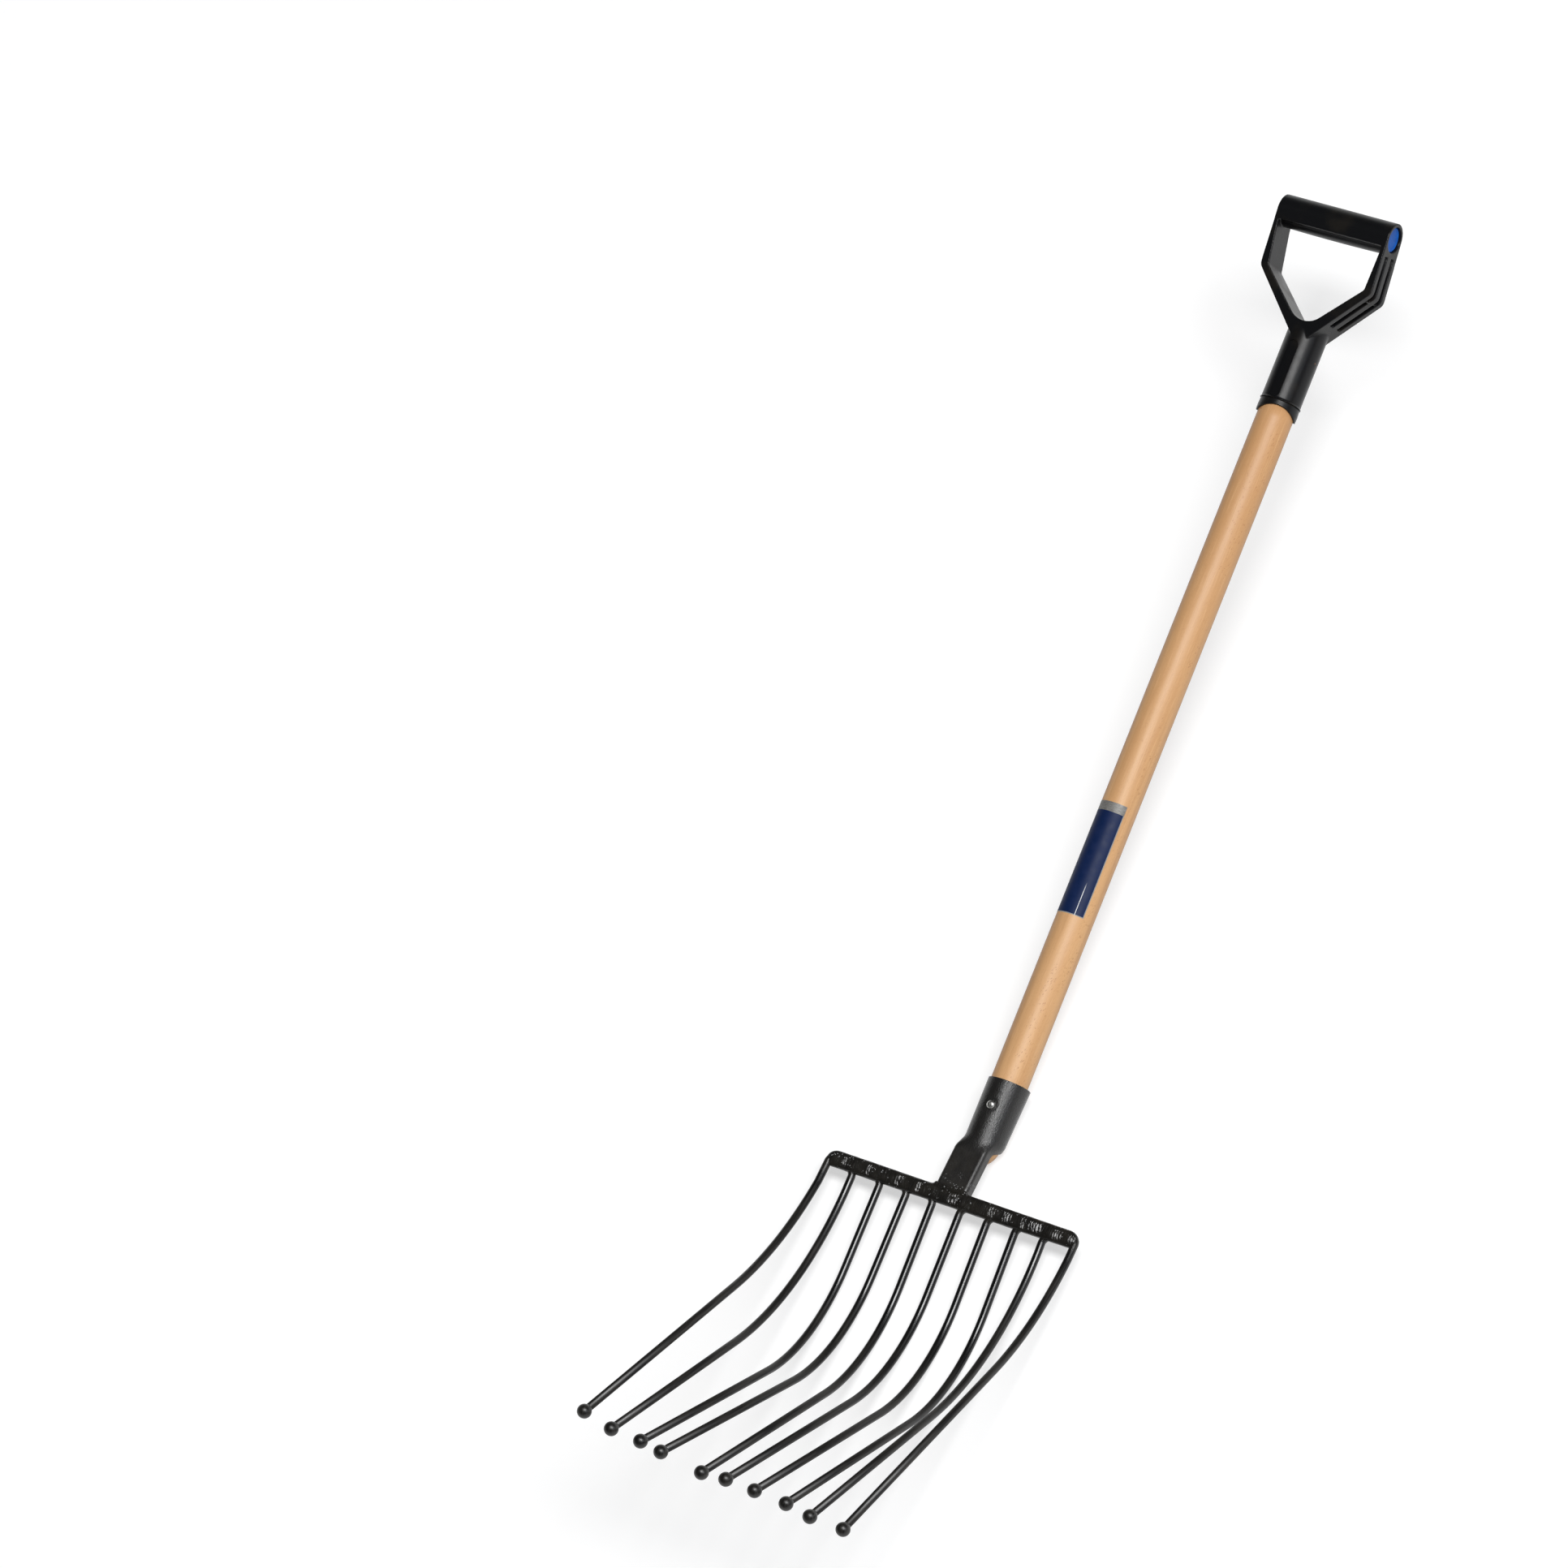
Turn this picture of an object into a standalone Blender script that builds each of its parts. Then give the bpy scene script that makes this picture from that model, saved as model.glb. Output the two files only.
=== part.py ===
"""Potato fork with ten ball-ended tines, a wooden shaft and a moulded D grip.

The tool's own frame has X along the crossbar, Y up the shaft and Z out of the
scooped front. The last step lays the finished fork on the ground, front up.
"""

import math

import bmesh
import bpy
from mathutils import Matrix, Vector

# Space left between pieces that touch, and how far a cutter reaches past what it cuts
GAP = 0.0003
PAST = 1.2

# Round steel rod that the tines and the crossbar are bent from
ROD = 0.0080
ROD_SIDES = 12
BALL = 0.0151
BALL_SEAT = 0.0035
BALL_SEGMENTS = 14
BALL_RINGS = 9

# Crossbar: the bow of the outer tines above, the short legs of the others below
CROSSBAR_HEIGHT = 0.0050
CROSSBAR_SLOPE = math.radians(-1.2)
BOW_BEND = 0.0090
LEG_BEND = 0.008
BEND_STEPS = 4

# Bend of a tine seen from the side: length before it starts, and its radius
OUTER_BEND = (0.0, 0.317)
SECOND_BEND = (0.0016, 0.273)
INNER_BEND = (0.0925, 0.161)
ARC_STEPS = 9
ROOT_LENGTH = 0.020

# Each hand-bent tine: place on the crossbar, drift sideways, length, tilt and turn in degrees, bend
TINES = {
    1: (-0.1417, -0.0037, 0.4544, 12.8, 32.9, OUTER_BEND),
    2: (-0.1122, -0.0030, 0.4671, 0.5, 50.2, SECOND_BEND),
    3: (-0.0806, -0.0026, 0.4852, 1.2, 54.9, INNER_BEND),
    4: (-0.0499, -0.0048, 0.4955, 0.8, 55.7, INNER_BEND),
    5: (-0.0200, -0.0010, 0.4777, -1.3, 54.8, INNER_BEND),
    6: (0.0117, -0.0022, 0.4825, -0.9, 55.2, INNER_BEND),
    7: (0.0428, 0.0024, 0.4894, -1.3, 56.2, INNER_BEND),
    8: (0.0748, 0.0030, 0.4850, -1.7, 55.6, INNER_BEND),
    9: (0.1057, 0.0070, 0.4785, -2.5, 51.0, SECOND_BEND),
    10: (0.1402, 0.0119, 0.4688, 10.1, 31.5, OUTER_BEND),
}

# Weld bead over the front of the crossbar
WELD_HALF_HEIGHT = 0.0086
WELD_DEPTH = 0.0057
WELD_BACK = 0.0005
WELD_SQUARENESS = 2.8
WELD_STEPS = 10

# Shaft, whose axis lies behind the plane of the crossbar
SHAFT_BACK = 0.0202
SHAFT_LOW = 0.0191
SHAFT_HIGH = 0.0185
SHAFT_TAPER_START = 0.1335
SHAFT_TAPER_END = 0.073
SHAFT_TAPERED = 0.0172
SHAFT_FOOT = 0.048
SHAFT_SIDES = 36
FOOT_STEPS = 4
TENON = 0.0176
TENON_EDGE = 0.001

# Socket: sheet rolled round the shaft, then pressed flat for the neck
SHEET = 0.0018
SOCKET_TOP = 0.1335
SOCKET_LOW = 0.0675
SOCKET_RADIUS_TOP = 0.0220
SOCKET_RADIUS_LOW = 0.0206
SOCKET_SHIFT_TOP = 0.0008
SOCKET_SHIFT_LOW = -0.0011
SHOULDER_TOP = 0.074
SHOULDER_LOW = 0.055
WING_TOP = 0.063
WING_LOW = 0.042
WING_END = 0.0605
NECK_HALF_WIDTH = 0.0179
NECK_CORNER = 0.004
NECK_HALF_SHEET = 0.0292
NECK_SHIFT_HIGH = -0.0035
NECK_SHIFT_LOW = -0.0050
NECK_REACH = 0.005
SHEET_STEPS = 14
SLEEVE_STEPS = 4
WOOD_CLEARANCE = 0.0005

# Rivet through the socket and the shaft
RIVET_HEIGHT = 0.1056
RIVET_HEAD = 0.0042
RIVET_DOME = 0.0024
RIVET_RIM = 0.0004
RIVET_SHANK = 0.0024
RIVET_SIDES = 20
DOME_STEPS = 4
WASHER = 0.006
WASHER_THICKNESS = 0.001
RIVET_TAIL = 0.0036
RIVET_TAIL_FACE = 0.0029
TAIL_THICKNESS = 0.0007

# Grip: a tube pressed on the shaft, and a D that leans forward from it
GRIP_MOUTH = 0.8645
GRIP_RADIUS = 0.0205
GRIP_LIP = 0.0011
GRIP_LIP_HEIGHT = 0.0009
TUBE_LENGTH = 0.1005
BORE_LENGTH = 0.0705
GRIP_SIDES = 36
LEAN_START = 0.0655
LEAN = math.radians(10.5)

# Outline of the D seen from the front, with heights above where the lean starts
D_TURN = math.radians(0.7)
D_OUTER = 0.0627
D_SHOULDER = 0.0595
D_SHOULDER_ROUND = 0.010
D_FOOT = 0.0140
ARM_LOW = 0.0090
ARM_HIGH = 0.0050
D_ELBOW_RISE = 0.0037
D_ELBOW_ROUND = 0.004
D_CROTCH = 0.0100
D_CROTCH_ROUND = 0.022
OPENING_LEAN = math.radians(4)
OPENING_TOP_DROP = 0.010
D_HALF_DEPTH = 0.0182
D_EDGE = 0.0014
D_EDGE_ANGLE = math.radians(50)
SIDE_STEPS = 8
GRIP_REACH = 0.060

# Hand bar across the top of the D
BAR_HEIGHT = 0.1216
BAR_END = 0.0158
BAR_MIDDLE = 0.0166
BAR_RING = 0.0168
BAR_SIDES = 28
BAR_STEPS = 4
CAP = 0.0128
CAP_THICKNESS = 0.0026
CAP_DEPTH = 0.0026
CAP_EDGE = 0.0004

# Two channels along the outside of each arm, with a rib between them
CHANNEL_INNER = 0.0044
CHANNEL_OUTER = 0.0104
CHANNEL_DEPTH_HIGH = 0.0024
CHANNEL_DEPTH_LOW = 0.0055
CHANNEL_TOP = 0.103
CHANNEL_FOOT = 0.0215

# Sunk panel on the front of the tube
PANEL_LENGTH = 0.061
PANEL_WIDTH = 0.0123
PANEL_DEPTH = 0.0007
PANEL_ROUND = 0.006
PANEL_STEPS = 3
PANEL_REACH = 0.006
PANEL_HEIGHT = 0.0315
PANEL_TURN = math.radians(-5)

# Collar under the grip, with an arched lower edge
COLLAR_TOP_RADIUS = 0.0204
COLLAR_WIDEST = 0.0209
COLLAR_WIDEST_DROP = 0.0075
COLLAR_LENGTH = 0.0165
COLLAR_ARCH_DROP = 0.0055
COLLAR_ARCH = 0.0313
COLLAR_TURN = math.radians(22)

# Density of each material in kg per cubic metre, for the way the fork comes to rest
DENSITY = {"steel": 7850, "zinc": 7850, "beech": 720, "plastic": 1000, "blue_plastic": 1000}

UP_THE_SHAFT = Matrix.Translation((0, 0, -SHAFT_BACK)) @ Matrix.Rotation(-math.pi / 2, 4, "X")
ALONG_X = Matrix(((0, 0, 1, 0), (1, 0, 0, 0), (0, 1, 0, 0), (0, 0, 0, 1)))
LEAN_FOOT = Matrix.Translation((0, GRIP_MOUTH + LEAN_START, -SHAFT_BACK))
UPRIGHT = LEAN_FOOT @ Matrix.Rotation(D_TURN, 4, "Z")
LEANING = UPRIGHT @ Matrix.Rotation(LEAN, 4, "X")


# Scene, collections and materials


def clear_scene():
    for obj in list(bpy.data.objects):
        bpy.data.objects.remove(obj, do_unlink=True)


def new_collection(name, hidden=False):
    collection = bpy.data.collections.new(name)
    bpy.context.scene.collection.children.link(collection)
    collection.hide_render = hidden
    return collection


def paint(name, colour, roughness, metallic=0.0):
    material = bpy.data.materials.new(name)
    material.use_nodes = True
    shader = material.node_tree.nodes["Principled BSDF"]
    shader.inputs["Base Color"].default_value = (*colour, 1)
    shader.inputs["Roughness"].default_value = roughness
    shader.inputs["Metallic"].default_value = metallic
    return material


clear_scene()
FORK = new_collection("potato_fork")
CUTTERS = new_collection("cutters", hidden=True)
LOOKS = {
    "steel": ((0.012, 0.012, 0.013), 0.35, 0.0),
    "zinc": ((0.72, 0.72, 0.70), 0.3, 1.0),
    "beech": ((0.62, 0.40, 0.20), 0.5, 0.0),
    "plastic": ((0.018, 0.018, 0.018), 0.45, 0.0),
    "blue_plastic": ((0.01, 0.09, 0.38), 0.4, 0.0),
}


def finish(obj, name, kind):
    """Names a piece, files it with the fork and gives it a material of its own."""
    obj.name = name
    FORK.objects.link(obj)
    obj.data.materials.clear()
    obj.data.materials.append(paint(name + "_" + kind, *LOOKS[kind]))
    obj["kind"] = kind
    return obj


def hide(obj, name):
    """Files a cutter where no render shows it."""
    obj.name = name
    CUTTERS.objects.link(obj)
    obj.hide_render = True
    obj.display_type = "WIRE"
    return obj


def combine(target, other, operation):
    modifier = target.modifiers.new(other.name, "BOOLEAN")
    modifier.operation = operation
    modifier.solver = "EXACT"
    modifier.object = other


# Shapes


def to_mesh(curve_object):
    """Turns a curve into a mesh object that takes its place."""
    bpy.context.scene.collection.objects.link(curve_object)
    bpy.context.view_layer.update()
    graph = bpy.context.evaluated_depsgraph_get()
    mesh = bpy.data.meshes.new_from_object(curve_object.evaluated_get(graph))
    shell = bmesh.new()
    shell.from_mesh(mesh)
    bmesh.ops.remove_doubles(shell, verts=shell.verts, dist=1e-7)
    bmesh.ops.recalc_face_normals(shell, faces=shell.faces)
    shell.to_mesh(mesh)
    shell.free()
    solid = bpy.data.objects.new(curve_object.name, mesh)
    solid.matrix_world = curve_object.matrix_world
    bpy.data.objects.remove(curve_object, do_unlink=True)
    return solid


def new_curve(points, closed, dimensions):
    curve = bpy.data.curves.new("path", "CURVE")
    curve.dimensions = dimensions
    spline = curve.splines.new("POLY")
    spline.points.add(len(points) - 1)
    for point, place in zip(spline.points, points):
        point.co = (*Vector(place).to_3d(), 1)
    spline.use_cyclic_u = closed
    return curve


def bent_rod(path, radius):
    """A round rod along a path, with flat ends."""
    curve = new_curve(path, False, "3D")
    curve.bevel_depth = radius
    curve.bevel_resolution = ROD_SIDES // 2 - 2
    curve.use_fill_caps = True
    return to_mesh(bpy.data.objects.new("rod", curve))


def flat_plate(outline, half_depth, place):
    """A closed outline thickened to both sides of its own plane."""
    curve = new_curve(outline, True, "2D")
    curve.fill_mode = "BOTH"
    curve.extrude = half_depth
    plate = bpy.data.objects.new("plate", curve)
    plate.matrix_world = place
    return to_mesh(plate)


def turned(profile, sides, place):
    """A solid of revolution about local Z. The profile runs down the outer side."""
    mesh = bpy.data.meshes.new("profile")
    points = [(radius, 0, height) for radius, height in profile]
    mesh.from_pydata(points, [(n, n + 1) for n in range(len(points) - 1)], [])
    obj = bpy.data.objects.new("turned", mesh)
    screw = obj.modifiers.new("Screw", "SCREW")
    screw.steps = sides
    screw.render_steps = sides
    screw.use_merge_vertices = True
    screw.merge_threshold = 1e-5
    screw.use_smooth_shade = False
    obj.matrix_world = place
    return obj


def cylinder(radius, bottom, top, sides, place):
    return turned([(0, top), (radius, top), (radius, bottom), (0, bottom)], sides, place)


def rounded(points, radii, steps):
    """A path with each corner replaced by an arc of its own radius."""
    path = [points[0]]
    for before, corner, after, radius in zip(points, points[1:], points[2:], radii):
        back = (before - corner).normalized()
        ahead = (after - corner).normalized()
        half = back.angle(ahead) / 2
        middle = corner + (back + ahead).normalized() * (radius / math.sin(half))
        start = corner + back * (radius / math.tan(half)) - middle
        end = corner + ahead * (radius / math.tan(half)) - middle
        sweep = start.angle(end)
        for step in range(steps + 1):
            share = step / steps
            blend = start * math.sin((1 - share) * sweep) + end * math.sin(share * sweep)
            path.append(middle + blend / math.sin(sweep))
    return path + [points[-1]]


def closed_rounded(corners, radii, steps):
    """The same for a closed outline in a plane."""
    count = len(corners)
    outline = []
    for n, radius in enumerate(radii):
        if radius == 0:
            outline.append(corners[n])
            continue
        around = [corners[n - 1], corners[n], corners[(n + 1) % count]]
        outline += rounded(around, [radius], steps)[1:-1]
    return outline


def mirrored(points):
    return [Vector((-point.x, point.y)) for point in reversed(points)]


def ease(low, high, value):
    """0 below low, 1 above high and a smooth change between them."""
    share = min(max((value - low) / (high - low), 0), 1)
    return share * share * (3 - 2 * share)


# Head


def crossbar_point(across, above):
    """A point on the sloping crossbar, above or below its middle line."""
    return Vector((across, CROSSBAR_HEIGHT + above + across * math.tan(CROSSBAR_SLOPE), 0))


def tine_angle(number, distance):
    tilt, turn, (start, radius) = TINES[number][3:]
    return math.radians(tilt) + min(max((distance - start) / radius, 0), math.radians(turn))


def tine_stations(number, end):
    turn, (start, radius) = TINES[number][4:]
    sweep = radius * math.radians(turn)
    arc = [start + sweep * step / ARC_STEPS for step in range(ARC_STEPS + 1)]
    return [0, ROOT_LENGTH] + [distance for distance in arc if distance > ROOT_LENGTH * PAST] + [end]


def tine_points(number, end):
    """Points down a tine, each piece turned by the mean angle of its two ends."""
    across, drift, length = TINES[number][:3]
    stations = tine_stations(number, end)
    place = Vector((across, 0, 0))
    points = [place]
    for near, far in zip(stations, stations[1:]):
        angle = (tine_angle(number, near) + tine_angle(number, far)) / 2
        step = Vector((drift / length, -math.cos(angle), math.sin(angle))) * (far - near)
        place = place + step
        points.append(place)
    return points


def rod_end(number):
    return TINES[number][2] - BALL / 2 + BALL_SEAT


def bow_path():
    """Down the first tine from its tip, along the crossbar and out to the last tip."""
    rise = ROD / 2 + GAP / 2
    first = list(reversed(tine_points(1, rod_end(1))[1:]))
    last = tine_points(10, rod_end(10))[1:]
    corners = [crossbar_point(TINES[1][0], rise), crossbar_point(TINES[10][0], rise)]
    bends = rounded([first[-1], *corners, last[0]], [BOW_BEND, BOW_BEND], BEND_STEPS)
    return first[:-1] + bends + last[1:]


def leg_end(number):
    """Where the short leg of an inner tine stops, just short of the next rod outward."""
    outward = -1 if TINES[number][0] < 0 else 1
    beside = number + outward
    if beside in (1, 10):
        return TINES[beside][0] - outward * (BOW_BEND + GAP)
    return TINES[beside][0] - outward * (ROD / 2 + 2 * GAP)


def leg_drop():
    return -ROD / 2 - GAP / 2


def tine_path(number):
    points = tine_points(number, rod_end(number))[1:]
    across = TINES[number][0]
    start = crossbar_point(leg_end(number), leg_drop())
    corner = crossbar_point(across, leg_drop())
    return rounded([start, corner, points[0]], [LEG_BEND], BEND_STEPS) + points[1:]


def rod_paths():
    paths = {number: tine_path(number) for number in range(2, 10)}
    paths["bow"] = bow_path()
    return paths


def ball(number):
    """A ball with the blind hole that the end of its tine sits in."""
    points = tine_points(number, TINES[number][2])
    centre = points[-1]
    along = (points[-2] - centre).normalized()
    place = Matrix.Translation(centre) @ along.to_track_quat("Z", "X").to_matrix().to_4x4()
    radius = BALL / 2
    angles = [math.pi * step / BALL_RINGS for step in range(BALL_RINGS + 1)]
    hole = ROD / 2 + GAP
    mouth = math.sqrt(radius**2 - hole**2)
    bottom = radius - BALL_SEAT - GAP
    outside = [
        (radius * math.sin(angle), radius * math.cos(angle))
        for angle in angles
        if radius * math.cos(angle) < mouth - GAP
    ]
    outside[-1] = (0, -radius)
    profile = [(0, bottom), (hole, bottom), (hole, mouth)] + outside
    return finish(turned(profile, BALL_SEGMENTS, place), f"ball_{number}", "steel")


def weld_profile():
    """Cross-section of the bead: across the height of the crossbar, bulging forward."""
    outline = []
    for step in range(WELD_STEPS + 1):
        angle = math.pi * step / WELD_STEPS
        up, out = math.cos(angle), math.sin(angle)
        power = 2 / WELD_SQUARENESS
        height = math.copysign(abs(up) ** power, up) * WELD_HALF_HEIGHT
        depth = WELD_BACK + abs(out) ** power * (WELD_DEPTH - WELD_BACK)
        outline.append(Vector((height, depth)))
    return outline


def crossbar_weld(paths):
    left = TINES[1][0] + BOW_BEND
    right = TINES[10][0] - BOW_BEND
    middle = crossbar_point((left + right) / 2, 0)
    place = Matrix.Translation(middle) @ Matrix.Rotation(CROSSBAR_SLOPE, 4, "Z") @ ALONG_X
    weld = finish(flat_plate(weld_profile(), (right - left) / 2, place), "crossbar_weld", "steel")
    stubs = ((TINES[1][0], left + GAP), (TINES[5][0], TINES[6][0]), (right - GAP, TINES[10][0]))
    for number, (start, end) in enumerate(stubs, 1):
        ends = [crossbar_point(start, leg_drop()), crossbar_point(end, leg_drop())]
        combine(weld, hide(bent_rod(ends, ROD / 2), f"weld_fill_{number}"), "UNION")
    for name, path in paths.items():
        combine(weld, hide(bent_rod(path, ROD / 2 + GAP), f"rod_space_{name}"), "DIFFERENCE")
    return weld


# Socket and shaft


def socket_radius(height):
    share = (height - SOCKET_LOW) / (SOCKET_TOP - SOCKET_LOW)
    return SOCKET_RADIUS_LOW + max(share, 0) * (SOCKET_RADIUS_TOP - SOCKET_RADIUS_LOW)


def half_sheet(height):
    """Half the width of the sheet, from the middle of the front round to its edge."""
    if height >= SOCKET_LOW:
        share = (height - SOCKET_LOW) / (SOCKET_TOP - SOCKET_LOW)
        return WING_LOW + share * (WING_TOP - WING_LOW)
    share = min((SOCKET_LOW - height) / (SOCKET_LOW - WING_END), 1)
    return WING_LOW + share * (NECK_HALF_SHEET - WING_LOW)


def round_section(length, radius):
    return Vector((radius * math.sin(length / radius), radius * math.cos(length / radius)))


def flat_section(length, front):
    """The neck's section: flat front, rounded corner, side running back."""
    flat = NECK_HALF_WIDTH - NECK_CORNER
    arc = NECK_CORNER * math.pi / 2
    if length <= flat:
        return Vector((length, front))
    if length <= flat + arc:
        angle = (length - flat) / NECK_CORNER
        across = flat + NECK_CORNER * math.sin(angle)
        return Vector((across, front - NECK_CORNER * (1 - math.cos(angle))))
    return Vector((NECK_HALF_WIDTH, front - NECK_CORNER - (length - flat - arc)))


def sheet_section(height, spare):
    """Points on the outside of the sheet at one height, from edge to edge."""
    pressed = 1 - ease(SHOULDER_LOW, SHOULDER_TOP, height)
    radius = socket_radius(height)
    neck_end = neck_foot()
    down = min(max((SHOULDER_LOW - height) / (SHOULDER_LOW - neck_end), 0), 1)
    neck_shift = NECK_SHIFT_HIGH + down * (NECK_SHIFT_LOW - NECK_SHIFT_HIGH)
    drop = min((SOCKET_TOP - height) / (SOCKET_TOP - SOCKET_LOW), 1)
    lean = SOCKET_SHIFT_TOP + drop * (SOCKET_SHIFT_LOW - SOCKET_SHIFT_TOP)
    shift = pressed * neck_shift + (1 - pressed) * lean
    front = SOCKET_RADIUS_LOW + NECK_REACH * down
    points = []
    for step in range(-SHEET_STEPS, SHEET_STEPS + 1):
        length = (half_sheet(height) + spare) * abs(step) / SHEET_STEPS
        point = round_section(length, radius).lerp(flat_section(length, front), pressed)
        points.append(Vector((shift + math.copysign(point.x, step), height, point.y - SHAFT_BACK)))
    return points


def neck_foot():
    """The lower end of the neck, just above the weld bead."""
    top_of_weld = CROSSBAR_HEIGHT + WELD_HALF_HEIGHT
    lean = abs(math.tan(CROSSBAR_SLOPE)) * (NECK_HALF_WIDTH + abs(NECK_SHIFT_LOW))
    return top_of_weld + lean + GAP


def sheet_form(name, spare):
    """The pressed sheet, thicker and wider by the spare where it is used to clear the wood."""
    span = SOCKET_TOP - SHOULDER_TOP
    heights = [SOCKET_TOP - span * step / SLEEVE_STEPS for step in range(SLEEVE_STEPS)]
    heights += [SHOULDER_TOP, (SHOULDER_TOP + SOCKET_LOW) / 2, SOCKET_LOW]
    heights += [(SOCKET_LOW + WING_END) / 2, WING_END, SHOULDER_LOW, neck_foot()]
    rows = [sheet_section(height, spare) for height in heights]
    width = len(rows[0])
    faces = []
    for row in range(len(rows) - 1):
        for column in range(width - 1):
            corner = row * width + column
            faces.append((corner, corner + 1, corner + width + 1, corner + width))
    mesh = bpy.data.meshes.new("sheet")
    mesh.from_pydata([point for row in rows for point in row], [], faces)
    sheet = bpy.data.objects.new(name, mesh)
    thicken = sheet.modifiers.new("Sheet", "SOLIDIFY")
    thicken.thickness = SHEET + 2 * spare
    thicken.offset = SHEET / thicken.thickness
    thicken.use_even_offset = True
    return sheet


def socket():
    sheet = finish(sheet_form("sheet", 0), "socket", "steel")
    hole = cylinder(RIVET_SHANK + GAP, 0, SOCKET_RADIUS_TOP * PAST, RIVET_SIDES, rivet_place())
    combine(sheet, hide(hole, "socket_rivet_hole"), "DIFFERENCE")
    return sheet


def shaft():
    """Straight round shaft: domed foot, taper in the socket, tenon in the grip."""
    foot = []
    for step in range(FOOT_STEPS + 1):
        angle = math.pi / 2 * step / FOOT_STEPS
        height = SHAFT_FOOT + (SHAFT_TAPER_END - SHAFT_FOOT) * math.cos(angle)
        foot.append((SHAFT_TAPERED * math.sin(angle), height))
    tenon_top = GRIP_MOUTH + BORE_LENGTH - GAP
    shoulder = GRIP_MOUTH - GAP
    profile = [(0, tenon_top), (TENON - TENON_EDGE, tenon_top), (TENON, tenon_top - TENON_EDGE)]
    profile += [(TENON, shoulder), (SHAFT_HIGH, shoulder), (SHAFT_LOW, SHAFT_TAPER_START)]
    for radius, height in reversed(foot):
        profile.append((radius, SHAFT_FOOT + SHAFT_TAPER_END - height))
    wood = finish(turned(profile, SHAFT_SIDES, UP_THE_SHAFT), "shaft", "beech")
    reach = SHAFT_LOW * PAST
    hole = cylinder(RIVET_SHANK + GAP, -reach, reach, RIVET_SIDES, rivet_place())
    combine(wood, hide(hole, "shaft_rivet_hole"), "DIFFERENCE")
    combine(wood, hide(sheet_form("space", WOOD_CLEARANCE), "socket_space"), "DIFFERENCE")
    return wood


def rivet_place():
    """Local Z runs out of the front of the socket, from the axis of the shaft."""
    return Matrix.Translation((0, RIVET_HEIGHT, -SHAFT_BACK))


def rivet():
    seat = socket_radius(RIVET_HEIGHT) + GAP
    back = -SHAFT_LOW - GAP - WASHER_THICKNESS - GAP
    dome = []
    for step in range(DOME_STEPS):
        angle = math.pi / 2 * step / DOME_STEPS
        dome.append((RIVET_HEAD * math.sin(angle), seat + RIVET_DOME * math.cos(angle)))
    profile = dome + [(RIVET_HEAD, seat + RIVET_RIM), (RIVET_HEAD, seat)]
    profile += [(RIVET_SHANK, seat), (RIVET_SHANK, back), (RIVET_TAIL, back)]
    profile += [(RIVET_TAIL_FACE, back - TAIL_THICKNESS), (0, back - TAIL_THICKNESS)]
    return finish(turned(profile, RIVET_SIDES, rivet_place()), "socket_rivet", "zinc")


def washer():
    top = -SHAFT_LOW - GAP
    bottom = top - WASHER_THICKNESS
    inner = RIVET_SHANK + GAP
    profile = [(inner, top), (WASHER, top), (WASHER, bottom), (inner, bottom), (inner, top)]
    return finish(turned(profile, RIVET_SIDES, rivet_place()), "rivet_washer", "zinc")


# Grip


def arm_outside():
    """Outside corners of the right arm, from the tube up to the hand bar."""
    return [Vector((GRIP_RADIUS, D_FOOT)), Vector((D_OUTER, D_SHOULDER))]


def d_inside():
    """Corners of the hand opening, right half, from the bottom up."""
    return [
        Vector((0, D_CROTCH)),
        Vector((D_OUTER - ARM_LOW, D_SHOULDER + D_ELBOW_RISE)),
        Vector((D_OUTER - ARM_HIGH, BAR_HEIGHT - BAR_RING)),
    ]


def d_outline():
    """The two arms in one outline that meets in a V inside the tube."""
    top = BAR_HEIGHT + BAR_RING
    foot, shoulder = arm_outside()
    slope = (shoulder.y - foot.y) / (shoulder.x - foot.x)
    vertex = Vector((0, foot.y - foot.x * slope))
    right = [shoulder, Vector((D_OUTER, top))]
    corners = [vertex, *right, *mirrored(right)]
    return closed_rounded(corners, [0, D_SHOULDER_ROUND, 0, 0, D_SHOULDER_ROUND], BEND_STEPS)


def side_outline():
    """The D seen from the side: narrower towards the top and round over the bar."""
    elbow = d_inside()[1].y
    outline = [Vector((-GRIP_REACH, D_HALF_DEPTH)), Vector((elbow, D_HALF_DEPTH))]
    for step in range(SIDE_STEPS + 1):
        angle = math.pi * step / SIDE_STEPS
        outline.append(Vector((BAR_HEIGHT + BAR_RING * math.sin(angle), BAR_RING * math.cos(angle))))
    return outline + [Vector((elbow, -D_HALF_DEPTH)), Vector((-GRIP_REACH, -D_HALF_DEPTH))]


def opening_outline():
    crotch, elbow, high = d_inside()
    top = (BAR_HEIGHT - OPENING_TOP_DROP) * math.cos(LEAN)
    right = [elbow, high, Vector((high.x, top))]
    corners = [crotch, *right, *mirrored(right)]
    return closed_rounded(corners, [D_CROTCH_ROUND, D_ELBOW_ROUND, 0, 0, 0, 0, D_ELBOW_ROUND], BEND_STEPS)


def hand_bar():
    """Barrel-shaped bar, lying across the leaning D."""
    end = D_OUTER - D_EDGE
    profile = [(0, end)]
    for step in range(BAR_STEPS, -BAR_STEPS - 1, -1):
        share = step / BAR_STEPS
        profile.append((BAR_MIDDLE + (BAR_END - BAR_MIDDLE) * share**2, end * share))
    profile.append((0, -end))
    across = Matrix.Translation((0, BAR_HEIGHT, 0)) @ Matrix.Rotation(math.pi / 2, 4, "Y")
    return turned(profile, BAR_SIDES, LEANING @ across)


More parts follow.
